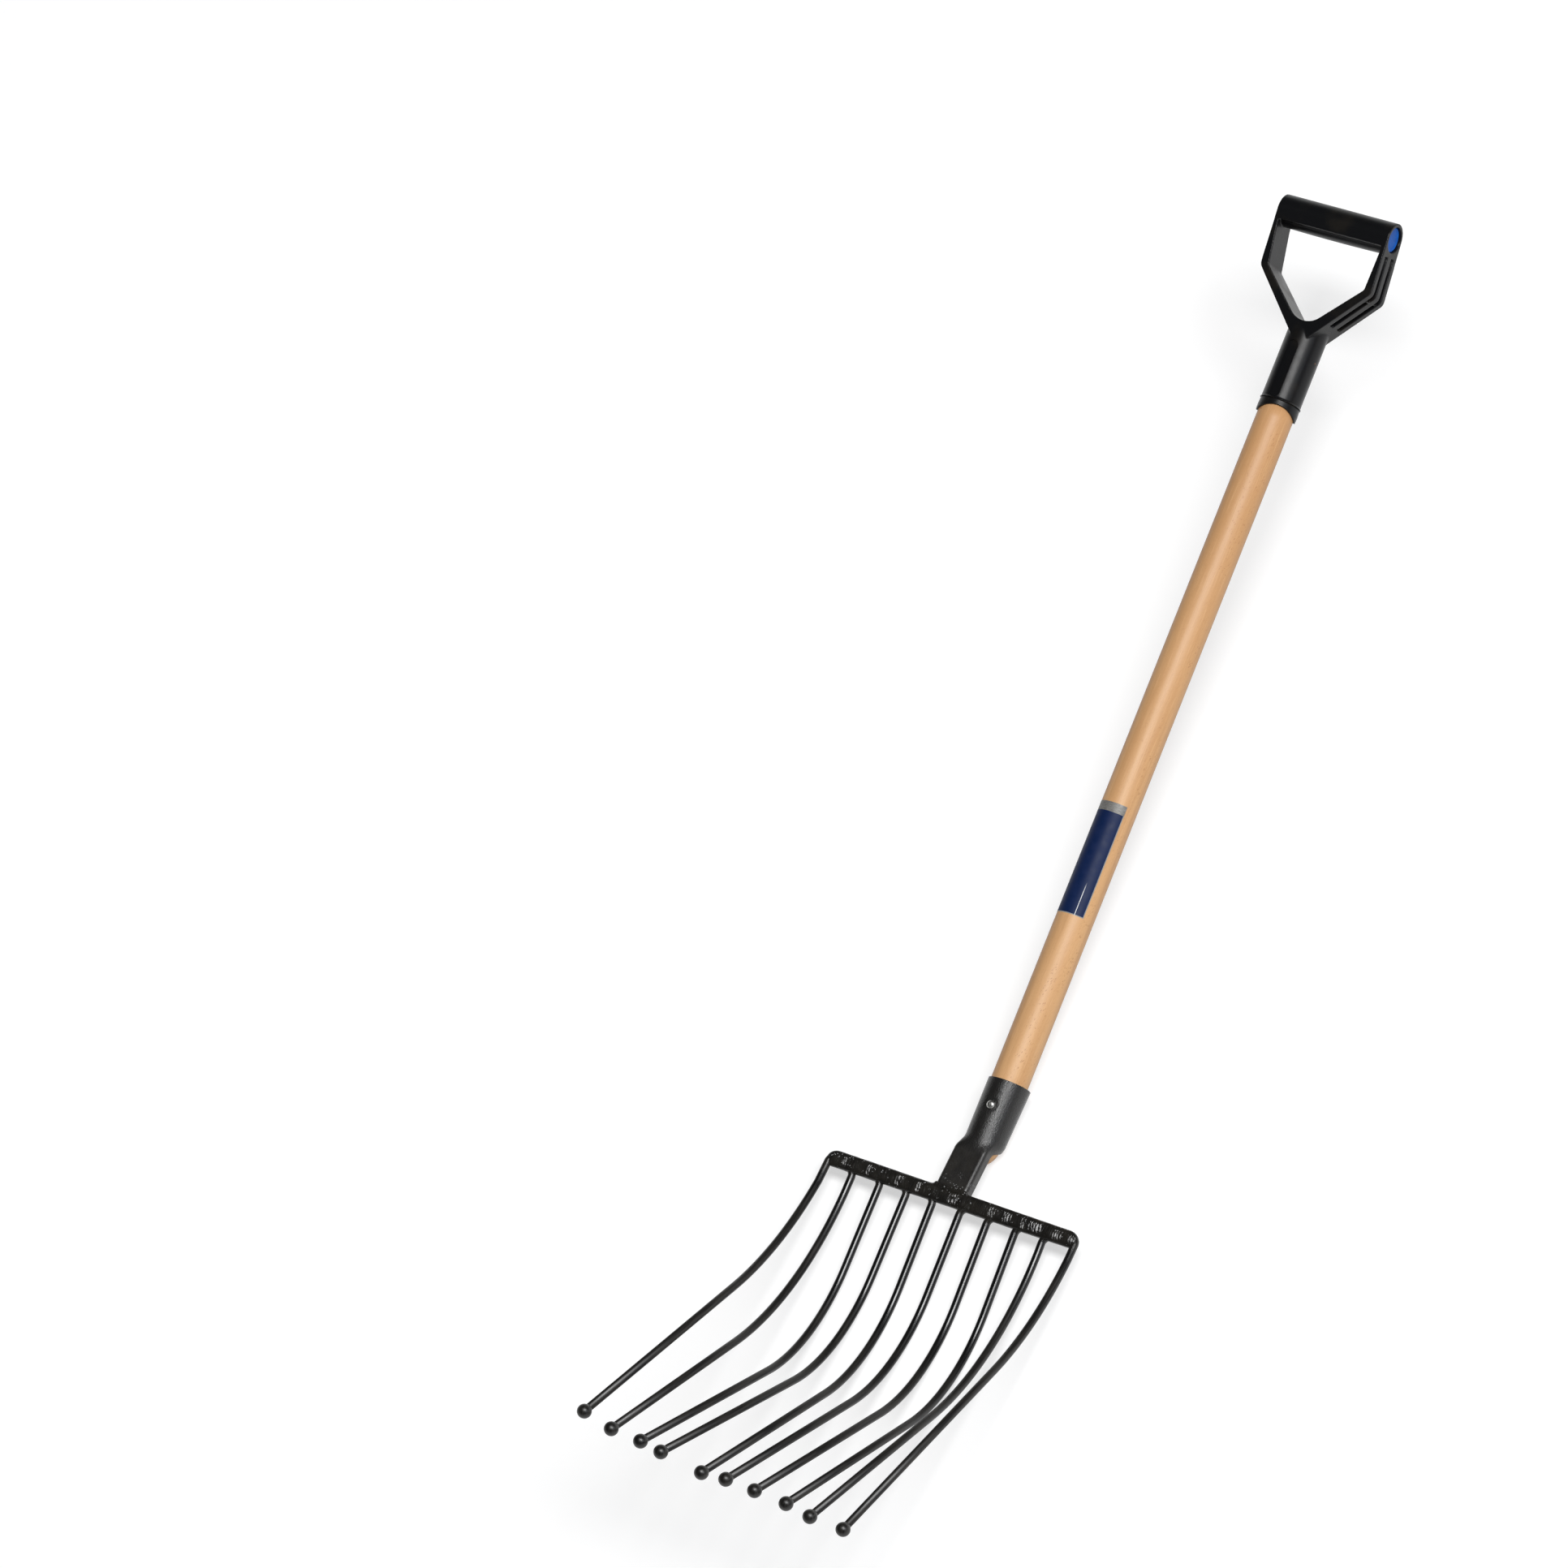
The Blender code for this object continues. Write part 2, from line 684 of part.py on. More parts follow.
def channel_outline():
    """Plan of the channels along the outside of the right arm."""
    foot, shoulder = arm_outside()
    slope = (shoulder - foot).normalized()
    inward = Vector((-slope.y, slope.x))
    start = foot + slope * ((CHANNEL_FOOT - foot.y) / slope.y)
    low = start + inward * CHANNEL_DEPTH_LOW
    bend_x = shoulder.x - CHANNEL_DEPTH_LOW
    bend = low + slope * ((bend_x - low.x) / slope.x)
    high = Vector((shoulder.x - CHANNEL_DEPTH_HIGH, CHANNEL_TOP))
    clear = D_EDGE
    outer = [Vector((shoulder.x + clear, CHANNEL_TOP)), Vector((shoulder.x + clear, shoulder.y))]
    outer += [start - inward * clear]
    return [low, bend, high, *outer]


def cut_channels(grip):
    half = (CHANNEL_OUTER - CHANNEL_INNER) / 2
    middle = (CHANNEL_OUTER + CHANNEL_INNER) / 2
    outline = channel_outline()
    for side, plan in (("right", outline), ("left", mirrored(outline))):
        for face, sign in (("front", 1), ("back", -1)):
            place = LEANING @ Matrix.Translation((0, 0, sign * middle))
            cutter = hide(flat_plate(plan, half, place), f"channel_{side}_{face}")
            combine(grip, cutter, "DIFFERENCE")


def cap_place(side):
    """Local Z runs out of the end of the hand bar."""
    turn = Matrix.Rotation(side * math.pi / 2, 4, "Y")
    return LEANING @ Matrix.Translation((side * D_OUTER, BAR_HEIGHT, 0)) @ turn


def grip_tube():
    """The tube that the shaft enters, with a thin lip at its mouth."""
    top = GRIP_MOUTH + TUBE_LENGTH
    lip = GRIP_RADIUS + GRIP_LIP
    lip_top = GRIP_MOUTH + GRIP_LIP_HEIGHT
    profile = [(0, top), (GRIP_RADIUS, top), (GRIP_RADIUS, lip_top)]
    profile += [(lip, lip_top), (lip, GRIP_MOUTH), (0, GRIP_MOUTH)]
    return turned(profile, GRIP_SIDES, UP_THE_SHAFT)


def panel_cutter():
    """A long plate with round ends, hollowed so that the sunk face stays round."""
    half = Vector((PANEL_WIDTH / 2, PANEL_LENGTH / 2))
    corners = [Vector((half.x * a, half.y * b)) for a, b in ((1, 1), (-1, 1), (-1, -1), (1, -1))]
    outline = closed_rounded(corners, [PANEL_ROUND] * len(corners), PANEL_STEPS)
    turn = Matrix.Rotation(PANEL_TURN, 4, "Y")
    place = Matrix.Translation((0, GRIP_MOUTH + PANEL_HEIGHT, -SHAFT_BACK)) @ turn
    lift = Matrix.Translation((0, 0, GRIP_RADIUS))
    cutter = hide(flat_plate(outline, PANEL_REACH, place @ lift), "panel")
    floor = GRIP_RADIUS - PANEL_DEPTH
    top = GRIP_MOUTH + TUBE_LENGTH
    core = cylinder(floor, GRIP_MOUTH - floor, top, GRIP_SIDES, UP_THE_SHAFT)
    combine(cutter, hide(core, "panel_floor"), "DIFFERENCE")
    return cutter


def grip():
    body = finish(flat_plate(d_outline(), GRIP_REACH, UPRIGHT), "grip", "plastic")
    side_place = LEANING @ ALONG_X
    combine(body, hide(flat_plate(side_outline(), D_OUTER * PAST, side_place), "side_form"), "INTERSECT")
    edge = body.modifiers.new("Edge", "BEVEL")
    edge.width = D_EDGE
    edge.segments = 1
    edge.limit_method = "ANGLE"
    edge.angle_limit = D_EDGE_ANGLE
    combine(body, hide(grip_tube(), "tube_form"), "UNION")
    through = UPRIGHT @ Matrix.Rotation(OPENING_LEAN, 4, "X")
    opening = flat_plate(opening_outline(), GRIP_REACH, through)
    combine(body, hide(opening, "hand_opening"), "DIFFERENCE")
    combine(body, hide(hand_bar(), "bar_form"), "UNION")
    mouth = GRIP_MOUTH - GRIP_LIP_HEIGHT
    bore_end = GRIP_MOUTH + BORE_LENGTH
    bore = cylinder(TENON + GAP, mouth, bore_end, SHAFT_SIDES, UP_THE_SHAFT)
    combine(body, hide(bore, "shaft_bore"), "DIFFERENCE")
    combine(body, panel_cutter(), "DIFFERENCE")
    cut_channels(body)
    depth = CAP_DEPTH + CAP_THICKNESS + GAP
    for name, side in (("left", -1), ("right", 1)):
        seat = cylinder(CAP + GAP, -depth, CAP_DEPTH, BAR_SIDES, cap_place(side))
        combine(body, hide(seat, f"cap_seat_{name}"), "DIFFERENCE")
    return body


def grip_cap(name, side):
    top = -CAP_DEPTH
    profile = [(0, top), (CAP - CAP_EDGE, top), (CAP, top - CAP_EDGE)]
    profile += [(CAP, top - CAP_THICKNESS), (0, top - CAP_THICKNESS)]
    return finish(turned(profile, BAR_SIDES, cap_place(side)), f"grip_cap_{name}", "blue_plastic")


def grip_collar():
    """A sleeve round the shaft below the grip, arched up at front and back."""
    top = GRIP_MOUTH - GAP
    inner = SHAFT_HIGH + 2 * GAP
    foot = GRIP_MOUTH - COLLAR_LENGTH
    widest = GRIP_MOUTH - COLLAR_WIDEST_DROP
    profile = [(inner, top), (COLLAR_TOP_RADIUS, top), (COLLAR_WIDEST, widest)]
    profile += [(COLLAR_TOP_RADIUS, foot), (inner, foot), (inner, top)]
    collar = finish(turned(profile, GRIP_SIDES, UP_THE_SHAFT), "grip_collar", "plastic")
    turn = Matrix.Rotation(COLLAR_TURN, 4, "Y")
    arch_centre = GRIP_MOUTH - COLLAR_ARCH_DROP - COLLAR_ARCH
    centre = Matrix.Translation((0, arch_centre, -SHAFT_BACK))
    reach = COLLAR_WIDEST * PAST
    arch = cylinder(COLLAR_ARCH, -reach, reach, SHAFT_SIDES, centre @ turn)
    combine(collar, hide(arch, "collar_arch"), "DIFFERENCE")
    return collar


# Lying on the ground


def solid_points(obj, graph):
    """World points, volume and centre of a finished piece."""
    evaluated = obj.evaluated_get(graph)
    mesh = evaluated.to_mesh()
    mesh.calc_loop_triangles()
    points = [obj.matrix_world @ vertex.co for vertex in mesh.vertices]
    volume = 0.0
    moment = Vector((0, 0, 0))
    for triangle in mesh.loop_triangles:
        a, b, c = (points[index] for index in triangle.vertices)
        part = a.dot(b.cross(c)) / 6
        volume += part
        moment += part * (a + b + c) / 4
    evaluated.to_mesh_clear()
    return points, abs(volume), moment / volume


def resting_normal(points, centre):
    """The downward direction of the face of the hull that the fork can lie on, front up."""
    hull = bmesh.new()
    for point in points:
        hull.verts.new(point)
    bmesh.ops.convex_hull(hull, input=hull.verts)
    best = Vector((0, 0, 1))
    for face in hull.faces:
        normal = face.normal
        if normal.dot(face.calc_center_median() - centre) < 0:
            normal = -normal
        landing = centre + normal * normal.dot(face.verts[0].co - centre)
        corners = [vertex.co for vertex in face.verts]
        turns = [
            (ahead - here).cross(landing - here).dot(normal)
            for here, ahead in zip(corners, corners[1:] + corners[:1])
        ]
        steady = min(turns) > 0 or max(turns) < 0
        if steady and normal.z < best.z:
            best = normal.copy()
    hull.free()
    return best


def lie_down():
    """Turns the whole fork to lie on the ground, then centres it over the origin."""
    bpy.context.view_layer.update()
    graph = bpy.context.evaluated_depsgraph_get()
    points, mass, moment = [], 0.0, Vector((0, 0, 0))
    for obj in FORK.objects:
        found, volume, centre = solid_points(obj, graph)
        points += found
        mass += volume * DENSITY[obj["kind"]]
        moment += centre * volume * DENSITY[obj["kind"]]
    down = resting_normal(points, moment / mass)
    along = (Vector((0, 1, 0)) - down * down.y).normalized()
    turn = Matrix((along.cross(-down), along, -down)).to_4x4()
    placed = [turn @ point for point in points]
    low = [min(point[axis] for point in placed) for axis in range(3)]
    high = [max(point[axis] for point in placed) for axis in range(3)]
    shift = Vector((-(low[0] + high[0]) / 2, -(low[1] + high[1]) / 2, -low[2]))
    for obj in [*FORK.objects, *CUTTERS.objects]:
        obj.matrix_world = Matrix.Translation(shift) @ turn @ obj.matrix_world


# Build


def build():
    paths = rod_paths()
    finish(bent_rod(paths["bow"], ROD / 2), "outer_tine_bow", "steel")
    for number in range(2, 10):
        finish(bent_rod(paths[number], ROD / 2), f"tine_{number}", "steel")
    for number in TINES:
        ball(number)
    crossbar_weld(paths)
    socket()
    shaft()
    rivet()
    washer()
    grip()
    grip_cap("left", -1)
    grip_cap("right", 1)
    grip_collar()
    lie_down()


build()
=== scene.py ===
# %% [markdown]
# # Dressing a potato fork
#
# The fork's plain solids are already packed as a fixed frame. This lesson gives them the look of
# the real tool, step by step: painted steel rod, weld beads, a riveted socket, a lacquered beech
# shaft with a printed band, and a moulded D grip with blue caps. Each step first says what the
# piece is on the real tool and how it may be made, then makes it.
#
# The first cell loads the frame's solids, each with its place baked into its points. Nothing
# added later may grow past it.

# %% Load the frame
import math

import bmesh
import bpy
from mathutils import Matrix, Vector, noise


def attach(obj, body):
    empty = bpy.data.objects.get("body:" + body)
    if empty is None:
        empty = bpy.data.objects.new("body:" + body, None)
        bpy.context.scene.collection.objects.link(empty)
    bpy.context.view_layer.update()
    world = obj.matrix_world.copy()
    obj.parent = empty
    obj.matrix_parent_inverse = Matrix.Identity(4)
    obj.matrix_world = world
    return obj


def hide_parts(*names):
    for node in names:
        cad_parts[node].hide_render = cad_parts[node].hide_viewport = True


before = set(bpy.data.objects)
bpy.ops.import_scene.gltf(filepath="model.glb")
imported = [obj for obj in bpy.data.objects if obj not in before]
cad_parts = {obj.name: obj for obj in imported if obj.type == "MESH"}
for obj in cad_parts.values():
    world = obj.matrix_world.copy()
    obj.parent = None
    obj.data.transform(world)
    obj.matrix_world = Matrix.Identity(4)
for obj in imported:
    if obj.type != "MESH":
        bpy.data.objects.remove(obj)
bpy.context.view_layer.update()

# %% [markdown]
# ## One shared frame
#
# It is easier to think of the tool standing up, with X along the crossbar, Y up the shaft and Z
# out of the scooped front, than lying on the ground as it does in the frame. Three small round
# parts, the two grip caps and the rivet's washer, have centres that are known in both. A plane
# and a direction through them give the turn and the shift from one to the other. A fit by eye
# would be a little off, and every piece made later would then be off too.

# %% Find how the tool lies
GAP = 0.0003
SHAFT_BACK = 0.0202
SHAFT_LOW = 0.0191
RIVET_HEIGHT = 0.1056
WASHER_THICKNESS = 0.001
GRIP_MOUTH = 0.8645
LEAN_START = 0.0655
LEAN = math.radians(10.5)
D_TURN = math.radians(0.7)
D_OUTER = 0.0627
BAR_HEIGHT = 0.1216
CAP_DEPTH = 0.0026
CAP_THICKNESS = 0.0026

LEAN_FOOT = Matrix.Translation((0, GRIP_MOUTH + LEAN_START, -SHAFT_BACK))
UPRIGHT = LEAN_FOOT @ Matrix.Rotation(D_TURN, 4, "Z")
LEANING = UPRIGHT @ Matrix.Rotation(LEAN, 4, "X")
UP_THE_SHAFT = Matrix.Translation((0, 0, -SHAFT_BACK)) @ Matrix.Rotation(-math.pi / 2, 4, "X")


def middle(name):
    """The middle of a CAD node's points, which is its centre for a round part."""
    points = [vertex.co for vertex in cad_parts[name].data.vertices]
    unique = {tuple(round(value, 6) for value in point) for point in points}
    return sum((Vector(point) for point in unique), Vector()) / len(unique)


def axes_through(left, right, low):
    """Three square axes and a place from three points."""
    across = (right - left).normalized()
    up = (left + right) / 2 - low
    front = across.cross(up).normalized()
    up = front.cross(across)
    turn = Matrix((across, up, front)).transposed().to_4x4()
    return Matrix.Translation(low) @ turn


cap_place = D_OUTER - CAP_DEPTH - CAP_THICKNESS / 2
washer_back = -SHAFT_BACK - SHAFT_LOW - GAP - WASHER_THICKNESS / 2
standing = axes_through(
    LEANING @ Vector((-cap_place, BAR_HEIGHT, 0)),
    LEANING @ Vector((cap_place, BAR_HEIGHT, 0)),
    Vector((0, RIVET_HEIGHT, washer_back)),
)
lying = axes_through(middle("grip_cap_left"), middle("grip_cap_right"), middle("rivet_washer"))
LIE = lying @ standing.inverted()
print("the tool lies by", [[round(value, 5) for value in row] for row in LIE])

# %% [markdown]
# ## The camera
#
# The photograph is taken from far away through a long lens: the crossbar, the shaft, the hand bar
# and the ends of the ten tines only line up in one nearly parallel view. The place and the three
# directions below were found from those lines. They are written in the tool's own frame, and the
# lie of the tool carries them over.

# %% Place the camera
EYE = Vector((6.8494, -2.2948, 14.1106))
RIGHT = Vector((0.85447, 0.3682, -0.36648))
ABOVE = Vector((-0.26321, 0.91504, 0.30565))
FOCAL_PIXELS = 20000
IMAGE_PIXELS = 1932
SENSOR = 36.0
FAR_CLIP = 200

eye_data = bpy.data.cameras.new("camera")
eye_data.sensor_width = SENSOR
eye_data.lens = FOCAL_PIXELS / IMAGE_PIXELS * SENSOR
eye_data.clip_end = FAR_CLIP
camera = bpy.data.objects.new("camera", eye_data)
bpy.context.scene.collection.objects.link(camera)
backward = RIGHT.cross(ABOVE)
facing = Matrix((RIGHT, ABOVE, backward)).transposed().to_4x4()
camera.matrix_world = LIE @ Matrix.Translation(EYE) @ facing
bpy.context.scene.camera = camera
bpy.context.scene.view_settings.view_transform = "Standard"
print("camera at", [round(value, 3) for value in camera.matrix_world.translation])

# %% [markdown]
# ## Tools for making pieces
#
# Nearly every piece is one of three forms: a section carried along a path, a profile turned round
# an axis, or a grid of points that a rule places. All are written in the standing frame. As a piece
# is laid down, each of its points keeps its standing place in an attribute named "at", so that a
# texture can follow the grain of the wood or the length of a tine.


# %% A piece from points and faces
def solid(name, points, faces):
    """A mesh object in the standing frame, its faces turned outward."""
    mesh = bpy.data.meshes.new(name)
    mesh.from_pydata([tuple(point) for point in points], [], faces)
    shell = bmesh.new()
    shell.from_mesh(mesh)
    bmesh.ops.recalc_face_normals(shell, faces=shell.faces)
    shell.to_mesh(mesh)
    shell.free()
    piece = bpy.data.objects.new(name, mesh)
    bpy.context.scene.collection.objects.link(piece)
    return piece


def combine(target, other, operation):
    modifier = target.modifiers.new(other.name, "BOOLEAN")
    modifier.operation = operation
    modifier.solver = "EXACT"
    modifier.object = other


def settle(target, *helpers):
    """Replaces the object's mesh by what its modifiers make, and removes the helpers."""
    bpy.context.view_layer.update()
    graph = bpy.context.evaluated_depsgraph_get()
    mesh = bpy.data.meshes.new_from_object(target.evaluated_get(graph))
    target.modifiers.clear()
    target.data = mesh
    for helper in helpers:
        bpy.data.objects.remove(helper, do_unlink=True)
    return target


def hand_over(piece, material, slot, *nodes):
    """Lays a finished piece down, gives it its look and hides the nodes it stands in for."""
    settle(piece)
    standing_at = piece.data.attributes.new("at", "FLOAT_VECTOR", "POINT")
    for place, vertex in zip(standing_at.data, piece.data.vertices):
        place.vector = vertex.co
    piece.data.transform(LIE)
    piece.data.materials.clear()
    piece.data.materials.append(material)
    for face in piece.data.polygons:
        face.use_smooth = True
    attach(piece, "root")
    if nodes:
        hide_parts(*nodes)
    return piece


# %% Rows of points joined into a skin
def skin(rows, closed_rows=True, capped=True):
    """Faces over rows of equal length, with a fan over the first and the last row."""
    width = len(rows[0])
    points = [point for row in rows for point in row]
    faces = []
    steps = width if closed_rows else width - 1
    for row in range(len(rows) - 1):
        for column in range(steps):
            here, beside = row * width + column, row * width + (column + 1) % width
            faces.append((here, beside, beside + width, here + width))
    if capped:
        faces.append(tuple(range(width))[::-1])
        faces.append(tuple(range((len(rows) - 1) * width, len(rows) * width)))
    return points, faces


# %% A turned piece
def circle(radius, height, sides):
    """Points round local Z, all at one height."""
    angles = [2 * math.pi * side / sides for side in range(sides)]
    return [Vector((radius * math.cos(a), radius * math.sin(a), height)) for a in angles]


def turned(name, profile, sides, place):
    """A solid of revolution about local Z, from a profile whose ends lie on the axis."""
    rows = [circle(radius, height, sides) for radius, height in profile[1:-1]]
    points, faces = skin(rows, capped=False)
    points += [Vector((0, 0, profile[0][1])), Vector((0, 0, profile[-1][1]))]
    last = (len(rows) - 1) * sides
    for side in range(sides):
        beside = (side + 1) % sides
        faces.append((len(points) - 2, side, beside))
        faces.append((len(points) - 1, last + beside, last + side))
    return solid(name, [place @ point for point in points], faces)


# %% A rod along a path
def swept(name, path, radius, sides):
    """A round rod along a path, its rings turned as little as may be from one to the next."""
    rows = []
    ahead = (path[1] - path[0]).normalized()
    side = ahead.orthogonal().normalized()
    for index, place in enumerate(path):
        before = path[max(index - 1, 0)]
        after = path[min(index + 1, len(path) - 1)]
        new_ahead = (after - before).normalized()
        side.rotate(ahead.rotation_difference(new_ahead))
        side = (side - new_ahead * side.dot(new_ahead)).normalized()
        ahead = new_ahead
        other = ahead.cross(side)
        ring = []
        for step in range(sides):
            angle = 2 * math.pi * step / sides
            ring.append(place + (side * math.cos(angle) + other * math.sin(angle)) * radius)
        rows.append(ring)
    return solid(name, *skin(rows))


# %% Rounding the corners of a path or an outline
def rounded(points, radii, steps):
    """A path with each corner replaced by an arc of its own radius."""
    path = [points[0]]
    for before, corner, after, radius in zip(points, points[1:], points[2:], radii):
        back = (before - corner).normalized()
        onward = (after - corner).normalized()
        half = back.angle(onward) / 2
        centre = corner + (back + onward).normalized() * (radius / math.sin(half))
        start = corner + back * (radius / math.tan(half)) - centre
        end = corner + onward * (radius / math.tan(half)) - centre
        sweep = start.angle(end)
        for step in range(steps + 1):
            share = step / steps
            blend = start * math.sin((1 - share) * sweep) + end * math.sin(share * sweep)
            path.append(centre + blend / math.sin(sweep))
    return path + [points[-1]]


def closed_rounded(corners, radii, steps):
    """The same for a closed outline in a plane."""
    count = len(corners)
    outline = []
    for index, radius in enumerate(radii):
        if radius == 0:
            outline.append(corners[index])
            continue
        around = [corners[index - 1], corners[index], corners[(index + 1) % count]]
        outline += rounded(around, [radius], steps)[1:-1]
    return outline


def mirrored(points):
    return [Vector((-point.x, point.y)) for point in reversed(points)]


def ease(low, high, value):
    """0 below low, 1 above high and a smooth change between them."""
    share = min(max((value - low) / (high - low), 0), 1)
    return share * share * (3 - 2 * share)


# %% [markdown]
# ## A small kit for materials
#
# Each material is a Principled shader fed by noise. One helper class keeps the node trees short
# to write: it scales the standing place of a point, so a scale of 900 makes marks of about a
# ninth of a centimetre, and a different scale along each axis draws them out into streaks.


class Look:
    """A material with a Principled shader and short calls for the nodes that feed it."""

    def __init__(self, name, attribute="at"):
        self.material = bpy.data.materials.new(name)
        self.material.use_nodes = True
        self.tree = self.material.node_tree
        self.shader = self.tree.nodes["Principled BSDF"]
        self.at = self.add("ShaderNodeAttribute", {}, attribute_name=attribute).outputs["Vector"]
        parts = self.add("ShaderNodeSeparateXYZ", {"Vector": self.at})
        self.x, self.y, self.z = parts.outputs

    def feed(self, socket, value):
        if isinstance(value, bpy.types.NodeSocket):
            self.tree.links.new(value, socket)
        else:
            socket.default_value = value

    def add(self, kind, inputs, **settings):
        made = self.tree.nodes.new(kind)
        for name, value in settings.items():
            setattr(made, name, value)
        for name, value in inputs.items():
            self.feed(made.inputs[name], value)
        return made

    def count(self, operation, first, second=0.0):
        """One step of arithmetic, on numbers or on what other nodes give."""
        return self.add("ShaderNodeMath", {0: first, 1: second}, operation=operation).outputs[0]

    def plus(self, first, second):
        return self.count("ADD", first, second)

    def less(self, first, second):
        return self.count("SUBTRACT", first, second)

    def times(self, first, second):
        return self.count("MULTIPLY", first, second)

    def most(self, first, second):
        return self.count("MAXIMUM", first, second)

    def amount(self, value):
        return self.count("ABSOLUTE", value)

    def scaled(self, scale, shift=0.0, at=None):
        """The standing place, stretched by one scale or by one for each axis, and moved."""
        scale = scale if isinstance(scale, tuple) else (scale, scale, scale)
        inputs = {0: at or self.at, 1: scale}
        stretched = self.add("ShaderNodeVectorMath", inputs, operation="MULTIPLY").outputs[0]
        inputs = {0: stretched, 1: (shift, shift, shift)}
        return self.add("ShaderNodeVectorMath", inputs, operation="ADD").outputs[0]

    def noise(self, scale, detail=3.0, shift=0.0, twist=0.0, at=None):
        """Soft noise between 0 and 1, with marks of one over the scale in metres."""
        inputs = {"Vector": self.scaled(scale, shift, at), "Scale": 1.0, "Detail": detail}
        made = self.add("ShaderNodeTexNoise", {**inputs, "Distortion": twist})
        return made.outputs[0]

    def cells(self, scale, shift=0.0, at=None):
        """Distance to the nearest of many scattered points, in steps of one cell."""
        inputs = {"Vector": self.scaled(scale, shift, at), "Scale": 1.0}
        return self.add("ShaderNodeTexVoronoi", inputs).outputs["Distance"]

    def step(self, value, low, high, start=0.0, end=1.0):
        """A soft step: start where the value is at low, end where it is at high."""
        inputs = {"Value": value, "From Min": low, "From Max": high, "To Min": start, "To Max": end}
        return self.add("ShaderNodeMapRange", inputs, interpolation_type="SMOOTHSTEP").outputs[0]

    def mix(self, share, first, second):
        """A colour between two others."""
        made = self.tree.nodes.new("ShaderNodeMix")
        made.data_type = "RGBA"
        self.feed(made.inputs[0], share)
        for index, colour in ((6, first), (7, second)):
            if not isinstance(colour, bpy.types.NodeSocket):
                colour = (*colour, 1)
            self.feed(made.inputs[index], colour)
        return made.outputs[2]

    def bump(self, height, distance, onto=None):
        inputs = {"Height": height, "Distance": distance, "Strength": 1.0}
        if onto:
            inputs["Normal"] = onto
        return self.add("ShaderNodeBump", inputs).outputs[0]

    def finish(self, **inputs):
        for name, value in inputs.items():
            self.feed(self.shader.inputs[name.replace("_", " ")], value)
        return self.material


# %% [markdown]
# ## Black enamel on the steel
#
# The head is dipped in black enamel. It is deep and glossy on the straight tines, where a lamp
# shows as one clean line. It is dull round the bends, where a painted brownish sheen in soft
# streaks stands in for a faint reflection; over the crossbar the same brownish black is worn
# enamel. Over the crossbar and the neck, weld spatter under the paint leaves fine grit, and bright
# specks there are painted glints. The socket has the coarse skin of paint over scaled sheet. The
# place of a point up the shaft sets how much of each.

# %% Mix the enamel
ENAMEL = (0.0032, 0.0032, 0.0036)
# Worn brownish black over the crossbar; on the bends the same colour is a painted sheen.
ENAMEL_WORN_AND_SHEEN = (0.0165, 0.0148, 0.0122)
ENAMEL_COARSE = (0.0155, 0.015, 0.0145)
# Painted glints: the colour of the bright specks near the weld.
GLINT_SPECK = (0.34, 0.345, 0.35)
GRIT_START = (-0.012, -0.004)
GRIT_THICKENS = (0.014, 0.019)
BENT_FORWARD = (0.002, 0.02)
SOCKET_SKIN = (0.048, 0.066)
GLINT_SPECK_HEIGHT = 0.014
GLINT_SPECK_REACH = (0.006, 0.028)
GLINT_SPECKS_END = (0.036, 0.046)
GRIT = 0.00022


def enamel():
    look = Look("black_enamel")
    above_tines = look.step(look.y, *GRIT_START)
    on_neck = look.step(look.y, *GRIT_THICKENS)
    below_socket = look.step(look.y, *GLINT_SPECKS_END, 1.0, 0.0)
    on_socket = look.step(look.y, *SOCKET_SKIN)
    bent = look.step(look.z, *BENT_FORWARD)
    rough_skin = look.plus(look.times(above_tines, 0.4), look.times(on_neck, 0.6))
    rough_skin = look.less(rough_skin, look.times(on_socket, 0.45))
    streaks = look.noise((900, 30, 30), 2.0)
    clouds = look.noise(70)
    # Painted glints: bright specks near the weld stand in for glints on the rough weld under the
    # paint.
    from_weld = look.amount(look.less(look.y, GLINT_SPECK_HEIGHT))
    reach = look.step(from_weld, *GLINT_SPECK_REACH, 0.24, 0.07)
    ragged = look.plus(look.cells(420), look.step(look.noise(1700), 0.3, 0.7, -0.12, 0.12))
    dots = look.step(look.less(reach, ragged), 0.0, 0.05)
    patches = look.step(look.noise(150, 2.0, 5.0), 0.52, 0.60)
    glint_specks = look.times(look.times(dots, patches), look.times(above_tines, below_socket))
    # Painted sheen: brownish soft streaks on the bends stand in for a faint reflection; over the
    # crossbar the same colour is worn enamel.
    worn_and_sheen = look.times(bent, look.step(streaks, 0.3, 0.7))
    worn_and_sheen = look.most(worn_and_sheen, look.times(above_tines, look.step(clouds, 0.35, 0.65, 0.45, 1.0)))
    coarse = look.times(on_socket, look.step(clouds, 0.3, 0.6, 0.7, 1.0))
    colour = look.mix(worn_and_sheen, ENAMEL, ENAMEL_WORN_AND_SHEEN)
    colour = look.mix(coarse, colour, ENAMEL_COARSE)
    colour = look.mix(glint_specks, colour, GLINT_SPECK)
    gritty = look.times(look.noise(1500, 4.0), look.plus(rough_skin, 0.05))
    pitted = look.times(look.noise(780, 3.0, 9.0), look.plus(look.times(on_socket, 1.4), 0.08))
    roughness = look.plus(look.step(streaks, 0.2, 0.8, 0.14, 0.24), look.times(bent, 0.18))
    roughness = look.plus(roughness, look.times(rough_skin, 0.16))
    return look.finish(
        Base_Color=colour, Roughness=roughness, IOR=1.52,
        Normal=look.bump(look.plus(gritty, pitted), GRIT),
    )


looks = {"black_steel": enamel()}
print("enamel of", len(looks["black_steel"].node_tree.nodes), "nodes")

# %% [markdown]
# ## Lacquered beech
#
# Beech is pale and warm, with almost no rings to see on a turned pole. What tells it apart is the
# short dark flecks, the cut ends of its rays. They lie along the grain in crowds on two opposite
# sides of the pole and thin out between them. Satin lacquer covers it, so light shows as a broad
# soft stripe. Long soft noise gives the grain, and stretched cells give the flecks.

